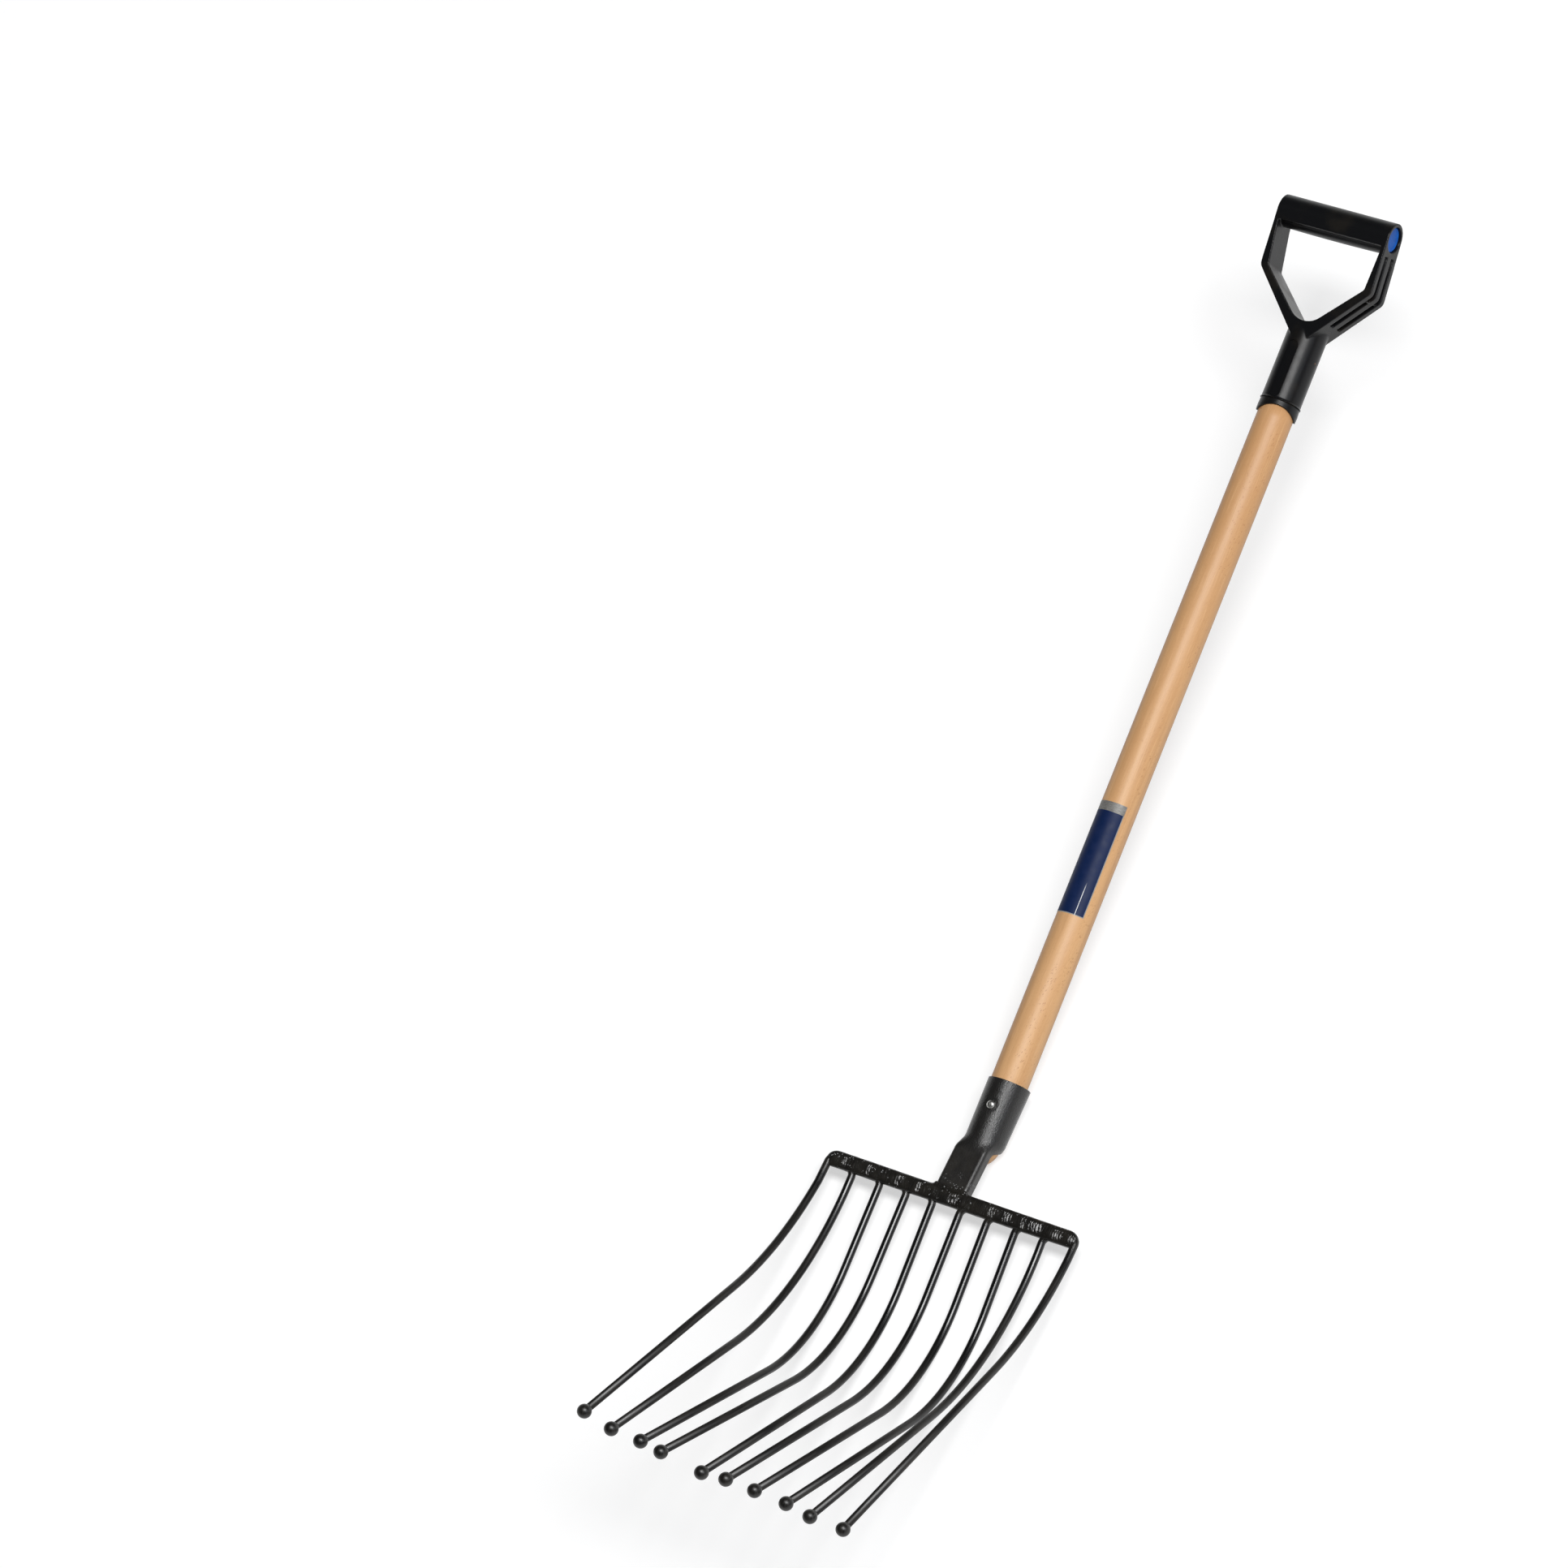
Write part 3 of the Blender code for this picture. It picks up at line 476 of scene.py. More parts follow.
# %% Plane the beech
BEECH = (0.70, 0.405, 0.19)
BEECH_DARK = (0.60, 0.325, 0.145)
BEECH_PALE = (0.76, 0.47, 0.245)
FLECK = (0.45, 0.205, 0.075)
FLECK_SIDE = math.radians(47)
FLECK_SLANT = 0.36
FLECK_BAND = (0.0125, 0.0175)
DARK_NEAR_GRIP = (0.35, 0.85)
FIBRE_RELIEF = 0.00004


def beech():
    look = Look("lacquered_beech")
    aslant = (-FLECK_SLANT * math.cos(FLECK_SIDE), 0, FLECK_SLANT * math.sin(FLECK_SIDE))
    drift = look.add("ShaderNodeVectorMath", {0: aslant, "Scale": look.y}, operation="SCALE")
    inputs = {0: look.at, 1: drift.outputs[0]}
    leaning = look.add("ShaderNodeVectorMath", inputs, operation="ADD").outputs[0]
    broad = look.noise((90, 4, 90), 3.0, 0.0, 0.6)
    fibre = look.noise((1000, 26, 1000), 3.0)
    pores = look.noise((1300, 90, 1300), 2.0, 11.0, 0.0, leaning)
    sideways = look.times(look.x, math.sin(FLECK_SIDE))
    forward = look.times(look.plus(look.z, SHAFT_BACK), math.cos(FLECK_SIDE))
    toward = look.amount(look.plus(sideways, forward))
    crowded_side = look.step(toward, *FLECK_BAND, 0.1, 1.0)
    crowd = look.step(look.noise((60, 16, 60), 2.0, 3.0), 0.40, 0.60)
    crumbs = look.step(look.noise((260, 160, 260), 2.0, 1.0), 0.44, 0.56)
    long_dash = look.step(look.cells((720, 230, 720), 7.0, leaning), 0.16, 0.36, 1.0, 0.0)
    dust = look.step(look.cells((1300, 300, 1300), 2.0, leaning), 0.1, 0.34, 1.0, 0.0)
    flecks = look.times(look.times(long_dash, crumbs), look.times(crowd, crowded_side))
    flecks = look.most(flecks, look.times(dust, 0.26))
    flecks = look.most(flecks, look.step(pores, 0.56, 0.70, 0.0, 0.22))
    near_grip = look.step(look.y, *DARK_NEAR_GRIP)
    darker = look.most(look.step(broad, 0.35, 0.65, 0.0, 0.8), near_grip)
    colour = look.mix(darker, BEECH, BEECH_DARK)
    colour = look.mix(look.step(fibre, 0.5, 0.75, 0.0, 0.5), colour, BEECH_PALE)
    colour = look.mix(look.times(flecks, 0.85), colour, FLECK)
    relief = look.less(look.times(fibre, 0.3), flecks)
    return look.finish(
        Base_Color=colour, Roughness=look.step(fibre, 0.2, 0.8, 0.42, 0.52), IOR=1.42,
        Normal=look.bump(relief, FIBRE_RELIEF), Coat_Weight=0.06, Coat_Roughness=0.3,
    )


looks["beech"] = beech()
print("beech of", len(looks["beech"].node_tree.nodes), "nodes")

# %% [markdown]
# ## Bright zinc, black and blue plastic
#
# The rivet is zinc plated and a little dented by the hammer. The grip is a black plastic with the
# fine even grain of its mould, dull enough that a lamp spreads to a broad grey glow. The plugs are
# a clear strong blue. The little pin through the tube has rusted.

# %% Mix zinc and plastics
ZINC = (0.74, 0.74, 0.71)
ZINC_STAINED = (0.5, 0.49, 0.45)
PLASTIC = (0.0050, 0.0052, 0.0060)
PLASTIC_RUBBED = (0.0098, 0.0085, 0.0070)
BLUE = (0.003, 0.112, 0.50)
BLUE_DEEP = (0.002, 0.085, 0.42)
RUST_DARK = (0.10, 0.045, 0.022)
RUST = (0.27, 0.13, 0.06)
DENTS = 0.0006
MOULD_GRAIN = 0.00003
RUST_SCALE = 0.00005


def zinc():
    look = Look("bright_zinc")
    stains = look.noise(1500)
    return look.finish(
        Base_Color=look.mix(look.step(stains, 0.4, 0.8), ZINC, ZINC_STAINED), Metallic=1.0,
        Roughness=look.step(stains, 0.3, 0.7, 0.22, 0.38),
        Normal=look.bump(look.noise(420, 1.0), DENTS),
    )


def black_plastic():
    look = Look("black_plastic")
    grain = look.noise(3200, 2.0)
    rubbed = look.step(look.noise(35, 4.0, 4.0), 0.48, 0.72)
    roughness = look.plus(look.step(grain, 0.3, 0.7, 0.27, 0.34), look.times(rubbed, 0.08))
    return look.finish(
        Base_Color=look.mix(rubbed, PLASTIC, PLASTIC_RUBBED), Roughness=roughness, IOR=1.31,
        Normal=look.bump(grain, MOULD_GRAIN),
    )


def blue_plastic():
    look = Look("blue_plastic")
    grain = look.noise(2600, 2.0)
    shade = look.step(look.noise(120, 2.0), 0.3, 0.7)
    return look.finish(
        Base_Color=look.mix(shade, BLUE, BLUE_DEEP), IOR=1.25,
        Roughness=look.step(grain, 0.3, 0.7, 0.34, 0.46), Normal=look.bump(grain, MOULD_GRAIN),
    )


def rusty_pin():
    look = Look("rusty_pin")
    scale = look.step(look.noise(2400), 0.35, 0.65)
    return look.finish(
        Base_Color=look.mix(scale, RUST_DARK, RUST),
        Roughness=look.step(scale, 0.0, 1.0, 0.45, 0.7), Normal=look.bump(scale, RUST_SCALE),
    )


looks["bright_zinc"] = zinc()
looks["black_plastic"] = black_plastic()
looks["blue_plastic"] = blue_plastic()
looks["rusty_pin"] = rusty_pin()
print("looks", sorted(looks))

# %% [markdown]
# ## Sizes of the head
#
# The head is bent from one round rod. The two outer tines and the top of the crossbar are one
# piece, a wide bow. Each inner tine turns sideways under it in a short leg. The values repeat
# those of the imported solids, so that each finer piece lies exactly where its solid does.

# %% Values of the head
ROD = 0.0080
BALL = 0.0151
BALL_SEAT = 0.0035
CROSSBAR_HEIGHT = 0.0050
CROSSBAR_SLOPE = math.radians(-1.2)
BOW_BEND = 0.0090
LEG_BEND = 0.008
BEND_STEPS = 10
ARC_STEPS = 30
ROOT_LENGTH = 0.020
ROOT_CLEAR = 1.1
OUTER_BEND = (0.0, 0.317)
SECOND_BEND = (0.0016, 0.273)
INNER_BEND = (0.0925, 0.161)
TINES = {
    1: (-0.1417, -0.0037, 0.4544, 12.8, 32.9, OUTER_BEND),
    2: (-0.1122, -0.0030, 0.4671, 0.5, 50.2, SECOND_BEND),
    3: (-0.0806, -0.0026, 0.4852, 1.2, 54.9, INNER_BEND),
    4: (-0.0499, -0.0048, 0.4955, 0.8, 55.7, INNER_BEND),
    5: (-0.0200, -0.0010, 0.4777, -1.3, 54.8, INNER_BEND),
    6: (0.0117, -0.0022, 0.4825, -0.9, 55.2, INNER_BEND),
    7: (0.0428, 0.0024, 0.4894, -1.3, 56.2, INNER_BEND),
    8: (0.0748, 0.0030, 0.4850, -1.7, 55.6, INNER_BEND),
    9: (0.1057, 0.0070, 0.4785, -2.5, 51.0, SECOND_BEND),
    10: (0.1402, 0.0119, 0.4688, 10.1, 31.5, OUTER_BEND),
}
print("tines", len(TINES))


# %% The line of each tine
def crossbar_point(across, above):
    """A point on the sloping crossbar, above or below its middle line."""
    return Vector((across, CROSSBAR_HEIGHT + above + across * math.tan(CROSSBAR_SLOPE), 0))


def tine_angle(number, distance):
    tilt, turn, (start, radius) = TINES[number][3:]
    return math.radians(tilt) + min(max((distance - start) / radius, 0), math.radians(turn))


def tine_points(number, end):
    """Points down a tine, each piece turned by the mean angle of its two ends."""
    across, drift, length = TINES[number][:3]
    turn, (start, radius) = TINES[number][4:]
    sweep = radius * math.radians(turn)
    arc = [start + sweep * step / ARC_STEPS for step in range(ARC_STEPS + 1)]
    past_root = [along for along in arc if along > ROOT_LENGTH * ROOT_CLEAR]
    stations = [0, ROOT_LENGTH, *past_root, end]
    place = Vector((across, 0, 0))
    points = [place]
    for near, far in zip(stations, stations[1:]):
        angle = (tine_angle(number, near) + tine_angle(number, far)) / 2
        step = Vector((drift / length, -math.cos(angle), math.sin(angle))) * (far - near)
        place = place + step
        points.append(place)
    return points


def rod_end(number):
    return TINES[number][2] - BALL / 2 + BALL_SEAT


def bow_path():
    """Down the first tine from its tip, along the crossbar and out to the last tip."""
    rise = ROD / 2 + GAP / 2
    first = list(reversed(tine_points(1, rod_end(1))[1:]))
    last = tine_points(10, rod_end(10))[1:]
    corners = [crossbar_point(TINES[1][0], rise), crossbar_point(TINES[10][0], rise)]
    bends = rounded([first[-1], *corners, last[0]], [BOW_BEND, BOW_BEND], BEND_STEPS)
    return first[:-1] + bends + last[1:]


def leg_end(number):
    """Where the short leg of an inner tine stops, just short of the next rod outward."""
    outward = -1 if TINES[number][0] < 0 else 1
    beside = number + outward
    if beside in (1, 10):
        return TINES[beside][0] - outward * (BOW_BEND + GAP)
    return TINES[beside][0] - outward * (ROD / 2 + 2 * GAP)


def leg_drop():
    return -ROD / 2 - GAP / 2


def tine_path(number):
    points = tine_points(number, rod_end(number))[1:]
    across = TINES[number][0]
    start = crossbar_point(leg_end(number), leg_drop())
    corner = crossbar_point(across, leg_drop())
    return rounded([start, corner, points[0]], [LEG_BEND], BEND_STEPS) + points[1:]


tips = [tine_points(number, TINES[number][2])[-1] for number in TINES]
print("tips reach forward by", [round(tip.z, 3) for tip in tips])

# %% Sweep the rods
ROD_SIDES = 28
ROD_LOOK = 0.99
bow = swept("bent_bow", bow_path(), ROD / 2 * ROD_LOOK, ROD_SIDES)
hand_over(bow, looks["black_steel"], "black_steel", "outer_tine_bow")
for number in range(2, 10):
    rod = swept(f"bent_tine_{number}", tine_path(number), ROD / 2 * ROD_LOOK, ROD_SIDES)
    hand_over(rod, looks["black_steel"], "black_steel", f"tine_{number}")
print("bow of", len(bow.data.vertices), "points, last tine of", len(rod.data.vertices))

# %% [markdown]
# ## Balls on the ends
#
# The balls keep the tips from piercing what the fork lifts. Each is welded to its rod, which
# leaves a low ring of weld round the joint. A turned profile makes ball and ring in one, so
# nothing has to be joined afterwards.

# %% Turn the balls
BALL_SIDES = 40
BALL_STEPS = 26
BALL_LOOK = 0.963
BALL_RING = 0.0009
BALL_RING_LENGTH = 0.0016
BALL_RING_STEPS = ((-0.00008, 1), (0.0004, 0.8), (BALL_RING * 0.8, 0.35))
BALL_HOLE = ROD / 2 * 0.9


def ball_profile():
    """From the bottom of the rod's hole, out over the weld ring and round to the far end."""
    radius = BALL / 2 * BALL_LOOK
    neck = ROD / 2 + BALL_RING
    mouth = math.sqrt(radius**2 - neck**2)
    profile = [(0, radius - BALL_SEAT), (BALL_HOLE, radius - BALL_SEAT)]
    for out, up in BALL_RING_STEPS:
        profile.append((ROD / 2 + out, mouth + BALL_RING_LENGTH * up))
    start = math.asin(neck / radius)
    for step in range(BALL_STEPS):
        angle = start + (math.pi - start) * step / BALL_STEPS
        profile.append((radius * math.sin(angle), radius * math.cos(angle)))
    return profile + [(0, -radius)]


for number in TINES:
    line = tine_points(number, TINES[number][2])
    along = (line[-2] - line[-1]).normalized()
    place = Matrix.Translation(line[-1]) @ along.to_track_quat("Z", "X").to_matrix().to_4x4()
    tip = turned(f"welded_ball_{number}", ball_profile(), BALL_SIDES, place)
    hand_over(tip, looks["black_steel"], "black_steel", f"ball_{number}")
print("balls", len(TINES), "of", len(tip.data.polygons), "faces")

# %% [markdown]
# ## The weld along the crossbar
#
# Bow and legs are joined by a weld over their whole front, which leaves the crossbar a flat,
# lumpy bar. The bead is a grid over a squared half-round section. Weld ripples lie across it as
# crescents, in groups beside some of the tines, and soft lumps run between them. Each ripple
# rises quickly and falls slowly to the right, so its long side faces the lamp and shines. The
# points move outward by a rule of place, so the relief is real and catches light as the paint does.

# %% Lay the weld bead
WELD_HALF_HEIGHT = 0.0086
WELD_DEPTH = 0.0057
WELD_BACK = 0.0005
WELD_SQUARENESS = 2.8
WELD_ROWS = 1100
WELD_STEPS = 40
WELD_LEAST = 0.3
WELD_FACING = (0.25, 0.8)
WELD_UPWARD = 0.4
RIPPLE_PITCH = 0.0030
RIPPLE_HEIGHT = 0.00078
RIPPLE_RISE = 0.38
RIPPLE_BOW = 0.5
RIPPLE_SUNK = 0.6
RIPPLE_LEAST = 0.07
RIPPLE_EDGE = 0.0016
RIPPLE_DROP = 0.0006
RIPPLE_REACH = (0.0035, 0.0065)
RIPPLE_GROUPS = {
    -0.123: 0.0016, -0.095: 0.0012, -0.061: 0.0022, -0.038: 0.0015, 0.002: 0.0040,
    0.046: 0.0030, 0.064: 0.0034, 0.082: 0.0014, 0.096: 0.0070, 0.121: 0.0036, 0.136: 0.0020,
}
LUMP_HEIGHT = 0.0006
LUMP_ASIDE = 0.3
LUMP_WAVES = ((130, 180, 3.7, 1.0), (520, 260, 8.1, 0.2))
WANDER_WAVES = ((90, 160, 1.3, 0.6), (340, 300, 6.2, 0.45))
WELD_REAR = 0.001
WELD_REAR_SHARE = 0.7


def soft_waves(along, height, waves):
    """Soft noise summed from waves, each with two scales, a place in the noise and a strength."""
    return sum(
        noise.noise(Vector((along * wide, height * high, place))) * strength
        for wide, high, place, strength in waves
    )


def ripple_at(along, height):
    """How far a weld ripple lifts the skin here, for a ripple of height one."""
    group = max(
        1 - ease(half, half + RIPPLE_EDGE, abs(along - place))
        for place, half in RIPPLE_GROUPS.items()
    )
    group *= 1 - ease(*RIPPLE_REACH, abs(height + RIPPLE_DROP))
    bow = RIPPLE_BOW * (height / WELD_HALF_HEIGHT) ** 2
    phase = (along / RIPPLE_PITCH + soft_waves(along, height, WANDER_WAVES) - bow) % 1
    ripple = min(phase / RIPPLE_RISE, (1 - phase) / (1 - RIPPLE_RISE))
    return (group + RIPPLE_LEAST) * (ripple - RIPPLE_SUNK)


def weld_section(along, squeeze, top):
    """One row of the bead, with its lumps and ripples, around the front of the crossbar."""
    row = []
    power = 2 / WELD_SQUARENESS
    for step in range(WELD_STEPS + 1):
        angle = math.pi * step / WELD_STEPS
        up, out = math.cos(angle), math.sin(angle)
        height = math.copysign(abs(up) ** power, up) * WELD_HALF_HEIGHT
        depth = WELD_BACK + abs(out) ** power * (WELD_DEPTH - WELD_BACK)
        facing = ease(*WELD_FACING, out)
        lump = soft_waves(along, height, LUMP_WAVES) * LUMP_HEIGHT
        lump *= LUMP_ASIDE + (1 - LUMP_ASIDE) * facing
        lump += ripple_at(along, height) * RIPPLE_HEIGHT * facing
        lift = Vector((0, up * WELD_UPWARD, out)).normalized() * lump
        height = height * squeeze if up < 0 else height * top / WELD_HALF_HEIGHT
        row.append(crossbar_point(along, 0) + Vector((0, height, depth * squeeze)) + lift * squeeze)
    for height in (-WELD_HALF_HEIGHT * squeeze, top):
        behind = Vector((0, height * WELD_REAR_SHARE, -WELD_REAR))
        row.append(crossbar_point(along, 0) + behind)
    return row


WELD_OVERLAP = ROD / 2 * 0.6
BOW_OUTSIDE = BOW_BEND + ROD / 2
left_end = TINES[1][0] - WELD_OVERLAP
right_end = TINES[10][0] + WELD_OVERLAP
weld_rows = []
for step in range(WELD_ROWS + 1):
    along = left_end + (right_end - left_end) * step / WELD_ROWS
    from_end = min(along - left_end, right_end - along)
    from_outside = min(from_end + ROD / 2 - WELD_OVERLAP, BOW_OUTSIDE)
    corner = BOW_OUTSIDE - math.sqrt(BOW_OUTSIDE**2 - (BOW_OUTSIDE - from_outside) ** 2)
    share = min(from_end / BOW_BEND, 1)
    squeeze = WELD_LEAST + (1 - WELD_LEAST) * math.sqrt(share * (2 - share))
    weld_rows.append(weld_section(along, squeeze, WELD_HALF_HEIGHT - corner))
bead = solid("weld_bead", *skin(weld_rows))
hand_over(bead, looks["black_steel"], "black_steel", "crossbar_weld")
print("weld", WELD_ROWS, "rows,", len(RIPPLE_GROUPS), "groups of ripples")

# %% [markdown]
# ## The socket
#
# The socket is one pressed sheet: rolled most of the way round the shaft above, flattened to a
# channel with rounded corners below, with a shoulder between. The section at each height changes
# from the one to the other, and the sheet is given its thickness afterwards.

# %% Values of the socket
SOCKET_TOP = 0.1335
SOCKET_LOW = 0.0675
SOCKET_RADIUS_TOP = 0.0220
SOCKET_RADIUS_LOW = 0.0206
SOCKET_SHIFT_TOP = 0.0008
SOCKET_SHIFT_LOW = -0.0011
SHOULDER_TOP = 0.074
SHOULDER_LOW = 0.055
WING_TOP = 0.063
WING_LOW = 0.042
WING_END = 0.0605
NECK_HALF_WIDTH = 0.0179
NECK_CORNER = 0.004
NECK_HALF_SHEET = 0.0292
NECK_SHIFT_HIGH = -0.0035
NECK_SHIFT_LOW = -0.0050
NECK_REACH = 0.005
NECK_FOOT = 0.0115
SHEET_COLUMNS = 60
DENT = 0.0006
DENT_RADIUS = 0.0085
DENT_FLAT = 0.55
print("socket and neck", round(SOCKET_TOP - NECK_FOOT, 4), "m high")


# %% Sections of the sheet
def socket_radius(height):
    share = (height - SOCKET_LOW) / (SOCKET_TOP - SOCKET_LOW)
    return SOCKET_RADIUS_LOW + max(share, 0) * (SOCKET_RADIUS_TOP - SOCKET_RADIUS_LOW)


def half_sheet(height):
    """Half the width of the sheet, from the middle of the front round to its edge."""
    if height >= SOCKET_LOW:
        share = (height - SOCKET_LOW) / (SOCKET_TOP - SOCKET_LOW)
        return WING_LOW + share * (WING_TOP - WING_LOW)
    return NECK_HALF_SHEET + ease(WING_END, SOCKET_LOW, height) * (WING_LOW - NECK_HALF_SHEET)


def round_section(length, radius):
    return Vector((radius * math.sin(length / radius), radius * math.cos(length / radius)))


def flat_section(length, front):
    """The neck's section: flat front, rounded corner, side running back."""
    flat = NECK_HALF_WIDTH - NECK_CORNER
    arc = NECK_CORNER * math.pi / 2
    if length <= flat:
        return Vector((length, front))
    if length <= flat + arc:
        angle = (length - flat) / NECK_CORNER
        across = flat + NECK_CORNER * math.sin(angle)
        return Vector((across, front - NECK_CORNER * (1 - math.cos(angle))))
    return Vector((NECK_HALF_WIDTH, front - NECK_CORNER - (length - flat - arc)))


def sheet_section(height):
    """Points on the outside of the sheet at one height, from edge to edge."""
    pressed = 1 - ease(SHOULDER_LOW, SHOULDER_TOP, height)
    radius = socket_radius(height)
    down = min(max((SHOULDER_LOW - height) / (SHOULDER_LOW - NECK_FOOT), 0), 1)
    neck_shift = NECK_SHIFT_HIGH + down * (NECK_SHIFT_LOW - NECK_SHIFT_HIGH)
    drop = min((SOCKET_TOP - height) / (SOCKET_TOP - SOCKET_LOW), 1)
    lean = SOCKET_SHIFT_TOP + drop * (SOCKET_SHIFT_LOW - SOCKET_SHIFT_TOP)
    shift = pressed * neck_shift + (1 - pressed) * lean
    front = SOCKET_RADIUS_LOW + NECK_REACH * down
    points = []
    for step in range(-SHEET_COLUMNS, SHEET_COLUMNS + 1):
        length = half_sheet(height) * abs(step) / SHEET_COLUMNS
        point = round_section(length, radius).lerp(flat_section(length, front), pressed)
        place = Vector((shift + math.copysign(point.x, step), height, point.y - SHAFT_BACK))
        from_rivet = math.hypot(math.copysign(length, step), height - RIVET_HEIGHT)
        place.z -= DENT * (1 - ease(DENT_RADIUS * DENT_FLAT, DENT_RADIUS, from_rivet))
        points.append(place)
    return points


blank = [round(2 * half_sheet(height), 4) for height in (SOCKET_TOP, SOCKET_LOW, NECK_FOOT)]
print("sheet laid flat is", blank, "m wide from top to foot")

# %% Press the sheet
SHEET = 0.0018
SHEET_EDGE = 0.0005
SHEET_ROWS = 90
SHEET_CORNER = math.radians(50)

sheet_rows = []
for step in range(SHEET_ROWS + 1):
    height = SOCKET_TOP + (NECK_FOOT - SOCKET_TOP) * step / SHEET_ROWS
    sheet_rows.append(sheet_section(height))
socket = solid("pressed_socket", *skin(sheet_rows, closed_rows=False, capped=False))
thicken = socket.modifiers.new("Sheet", "SOLIDIFY")
thicken.thickness = SHEET
thicken.offset = -1
soften = socket.modifiers.new("Edge", "BEVEL")
soften.width = SHEET_EDGE
soften.segments = 2
soften.limit_method = "ANGLE"
soften.angle_limit = SHEET_CORNER
front_face = max(socket.data.polygons, key=lambda face: face.center.z)
if front_face.normal.z < 0:
    socket.data.flip_normals()
hand_over(socket, looks["black_steel"], "black_steel", "socket")
print("socket of", len(socket.data.polygons), "faces")

# %% [markdown]
# ## The weld at the neck's foot
#
# A second, smaller bead joins the foot of the neck to the crossbar and turns its corner on both
# sides. It fills the groove between the two and spreads a little at each end, which softens the
# corner where the neck meets the bar.

# %% Lay the neck bead
NECK_BEAD = 0.0027
NECK_BEAD_SPREAD = 0.0035
NECK_BEAD_LEFT = 0.0068
NECK_BEAD_RISE = 0.0029
NECK_BEAD_DEPTH = 0.0030
NECK_BEAD_FALL = 0.0022
NECK_BEAD_LUMP = 0.0005
NECK_BEAD_LUMPS = 300
NECK_BEAD_ROWS = 150
NECK_BEAD_SIDES = 24

neck_left = NECK_SHIFT_LOW - NECK_HALF_WIDTH - NECK_BEAD_LEFT
neck_right = NECK_SHIFT_LOW + NECK_HALF_WIDTH + NECK_BEAD_SPREAD
neck_rows = []
for step in range(NECK_BEAD_ROWS + 1):
    along = neck_left + (neck_right - neck_left) * step / NECK_BEAD_ROWS
    from_end = min(along - neck_left, neck_right - along)
    spread = NECK_BEAD_LEFT if along < NECK_SHIFT_LOW else NECK_BEAD_SPREAD
    inside = min(from_end / spread, 1) ** 2
    centre = crossbar_point(along, WELD_HALF_HEIGHT + NECK_BEAD_RISE * inside - NECK_BEAD)
    centre.z = NECK_BEAD_DEPTH - NECK_BEAD_FALL * (1 - inside)
    ring = []
    for side in range(NECK_BEAD_SIDES):
        angle = 2 * math.pi * side / NECK_BEAD_SIDES
        out = Vector((0, math.cos(angle), math.sin(angle)))
        lump = noise.noise(out + Vector((along * NECK_BEAD_LUMPS, 0, 0))) * NECK_BEAD_LUMP
        ring.append(centre + out * (NECK_BEAD + lump))
    neck_rows.append(ring)
neck_bead = solid("neck_bead", *skin(neck_rows))
hand_over(neck_bead, looks["black_steel"], "black_steel")
print("neck bead from", round(neck_left, 4), "to", round(neck_right, 4))

# %% [markdown]
# ## Rivet and washer
#
# One rivet goes through socket and wood. Its bright domed head sits in a shallow dent, and the
# far end is spread over a small washer on the wood.

# %% Set the rivet
RIVET_HEAD = 0.0042
RIVET_DOME = 0.0024
RIVET_SHANK = 0.0024
RIVET_TAIL = 0.0036
TAIL_THICKNESS = 0.0007
TAIL_SPREAD = 0.0001
WASHER = 0.006
WASHER_EDGE = 0.00015
RIVET_SIDES = 48
DOME_STEPS = 10

rivet_place = Matrix.Translation((0, RIVET_HEIGHT, -SHAFT_BACK))
seat = socket_radius(RIVET_HEIGHT) + GAP
back = -SHAFT_LOW - GAP - WASHER_THICKNESS - GAP
dome = []
for step in range(DOME_STEPS + 1):
    angle = math.pi / 2 * step / DOME_STEPS
    dome.append((RIVET_HEAD * math.sin(angle), seat + RIVET_DOME * math.cos(angle)))
dome += [(RIVET_HEAD, seat - DENT), (RIVET_SHANK, seat - DENT), (RIVET_SHANK, back)]
tail_edge = TAIL_THICKNESS * 0.5
dome += [(RIVET_TAIL, back), (RIVET_TAIL - TAIL_SPREAD, back - tail_edge)]
dome += [(RIVET_TAIL - tail_edge, back - TAIL_THICKNESS), (0, back - TAIL_THICKNESS)]
rivet = turned("domed_rivet", dome, RIVET_SIDES, rivet_place)
hand_over(rivet, looks["bright_zinc"], "bright_zinc", "socket_rivet")

inner, washer_top = RIVET_SHANK + GAP, -SHAFT_LOW - GAP
washer_low = washer_top - WASHER_THICKNESS
ring_profile = [
    (inner, washer_top), (WASHER - WASHER_EDGE, washer_top), (WASHER, washer_top - WASHER_EDGE),
    (WASHER, washer_low + WASHER_EDGE), (WASHER - WASHER_EDGE, washer_low), (inner, washer_low),
]
washer_rows = []
for radius, height in ring_profile + ring_profile[:1]:
    washer_rows.append([rivet_place @ point for point in circle(radius, height, RIVET_SIDES)])
washer = solid("rivet_seat", *skin(washer_rows, capped=False))
hand_over(washer, looks["bright_zinc"], "bright_zinc", "rivet_washer")
print("rivet from", round(seat + RIVET_DOME, 4), "to", round(back - TAIL_THICKNESS, 4))

# %% [markdown]
# ## The shaft
#
# The shaft is a turned beech pole. It is one long profile: domed foot, taper inside the
# socket, a faint taper up to the grip and the tenon that the grip is pressed on.

# %% Turn the shaft
SHAFT_HIGH = 0.0185
SHAFT_TAPER_START = 0.1335
SHAFT_TAPER_END = 0.073
SHAFT_TAPERED = 0.0169
SHAFT_FOOT = 0.048
TENON = 0.0176
TENON_EDGE = 0.001
BORE_LENGTH = 0.0705
SHAFT_SIDES = 96
SHAFT_ROWS = 40
FOOT_STEPS = 12


def round_shaft(radius, angle, height):
    """A point beside the axis of the shaft, at an angle from the front towards the right."""
    return Vector((radius * math.sin(angle), height, radius * math.cos(angle) - SHAFT_BACK))


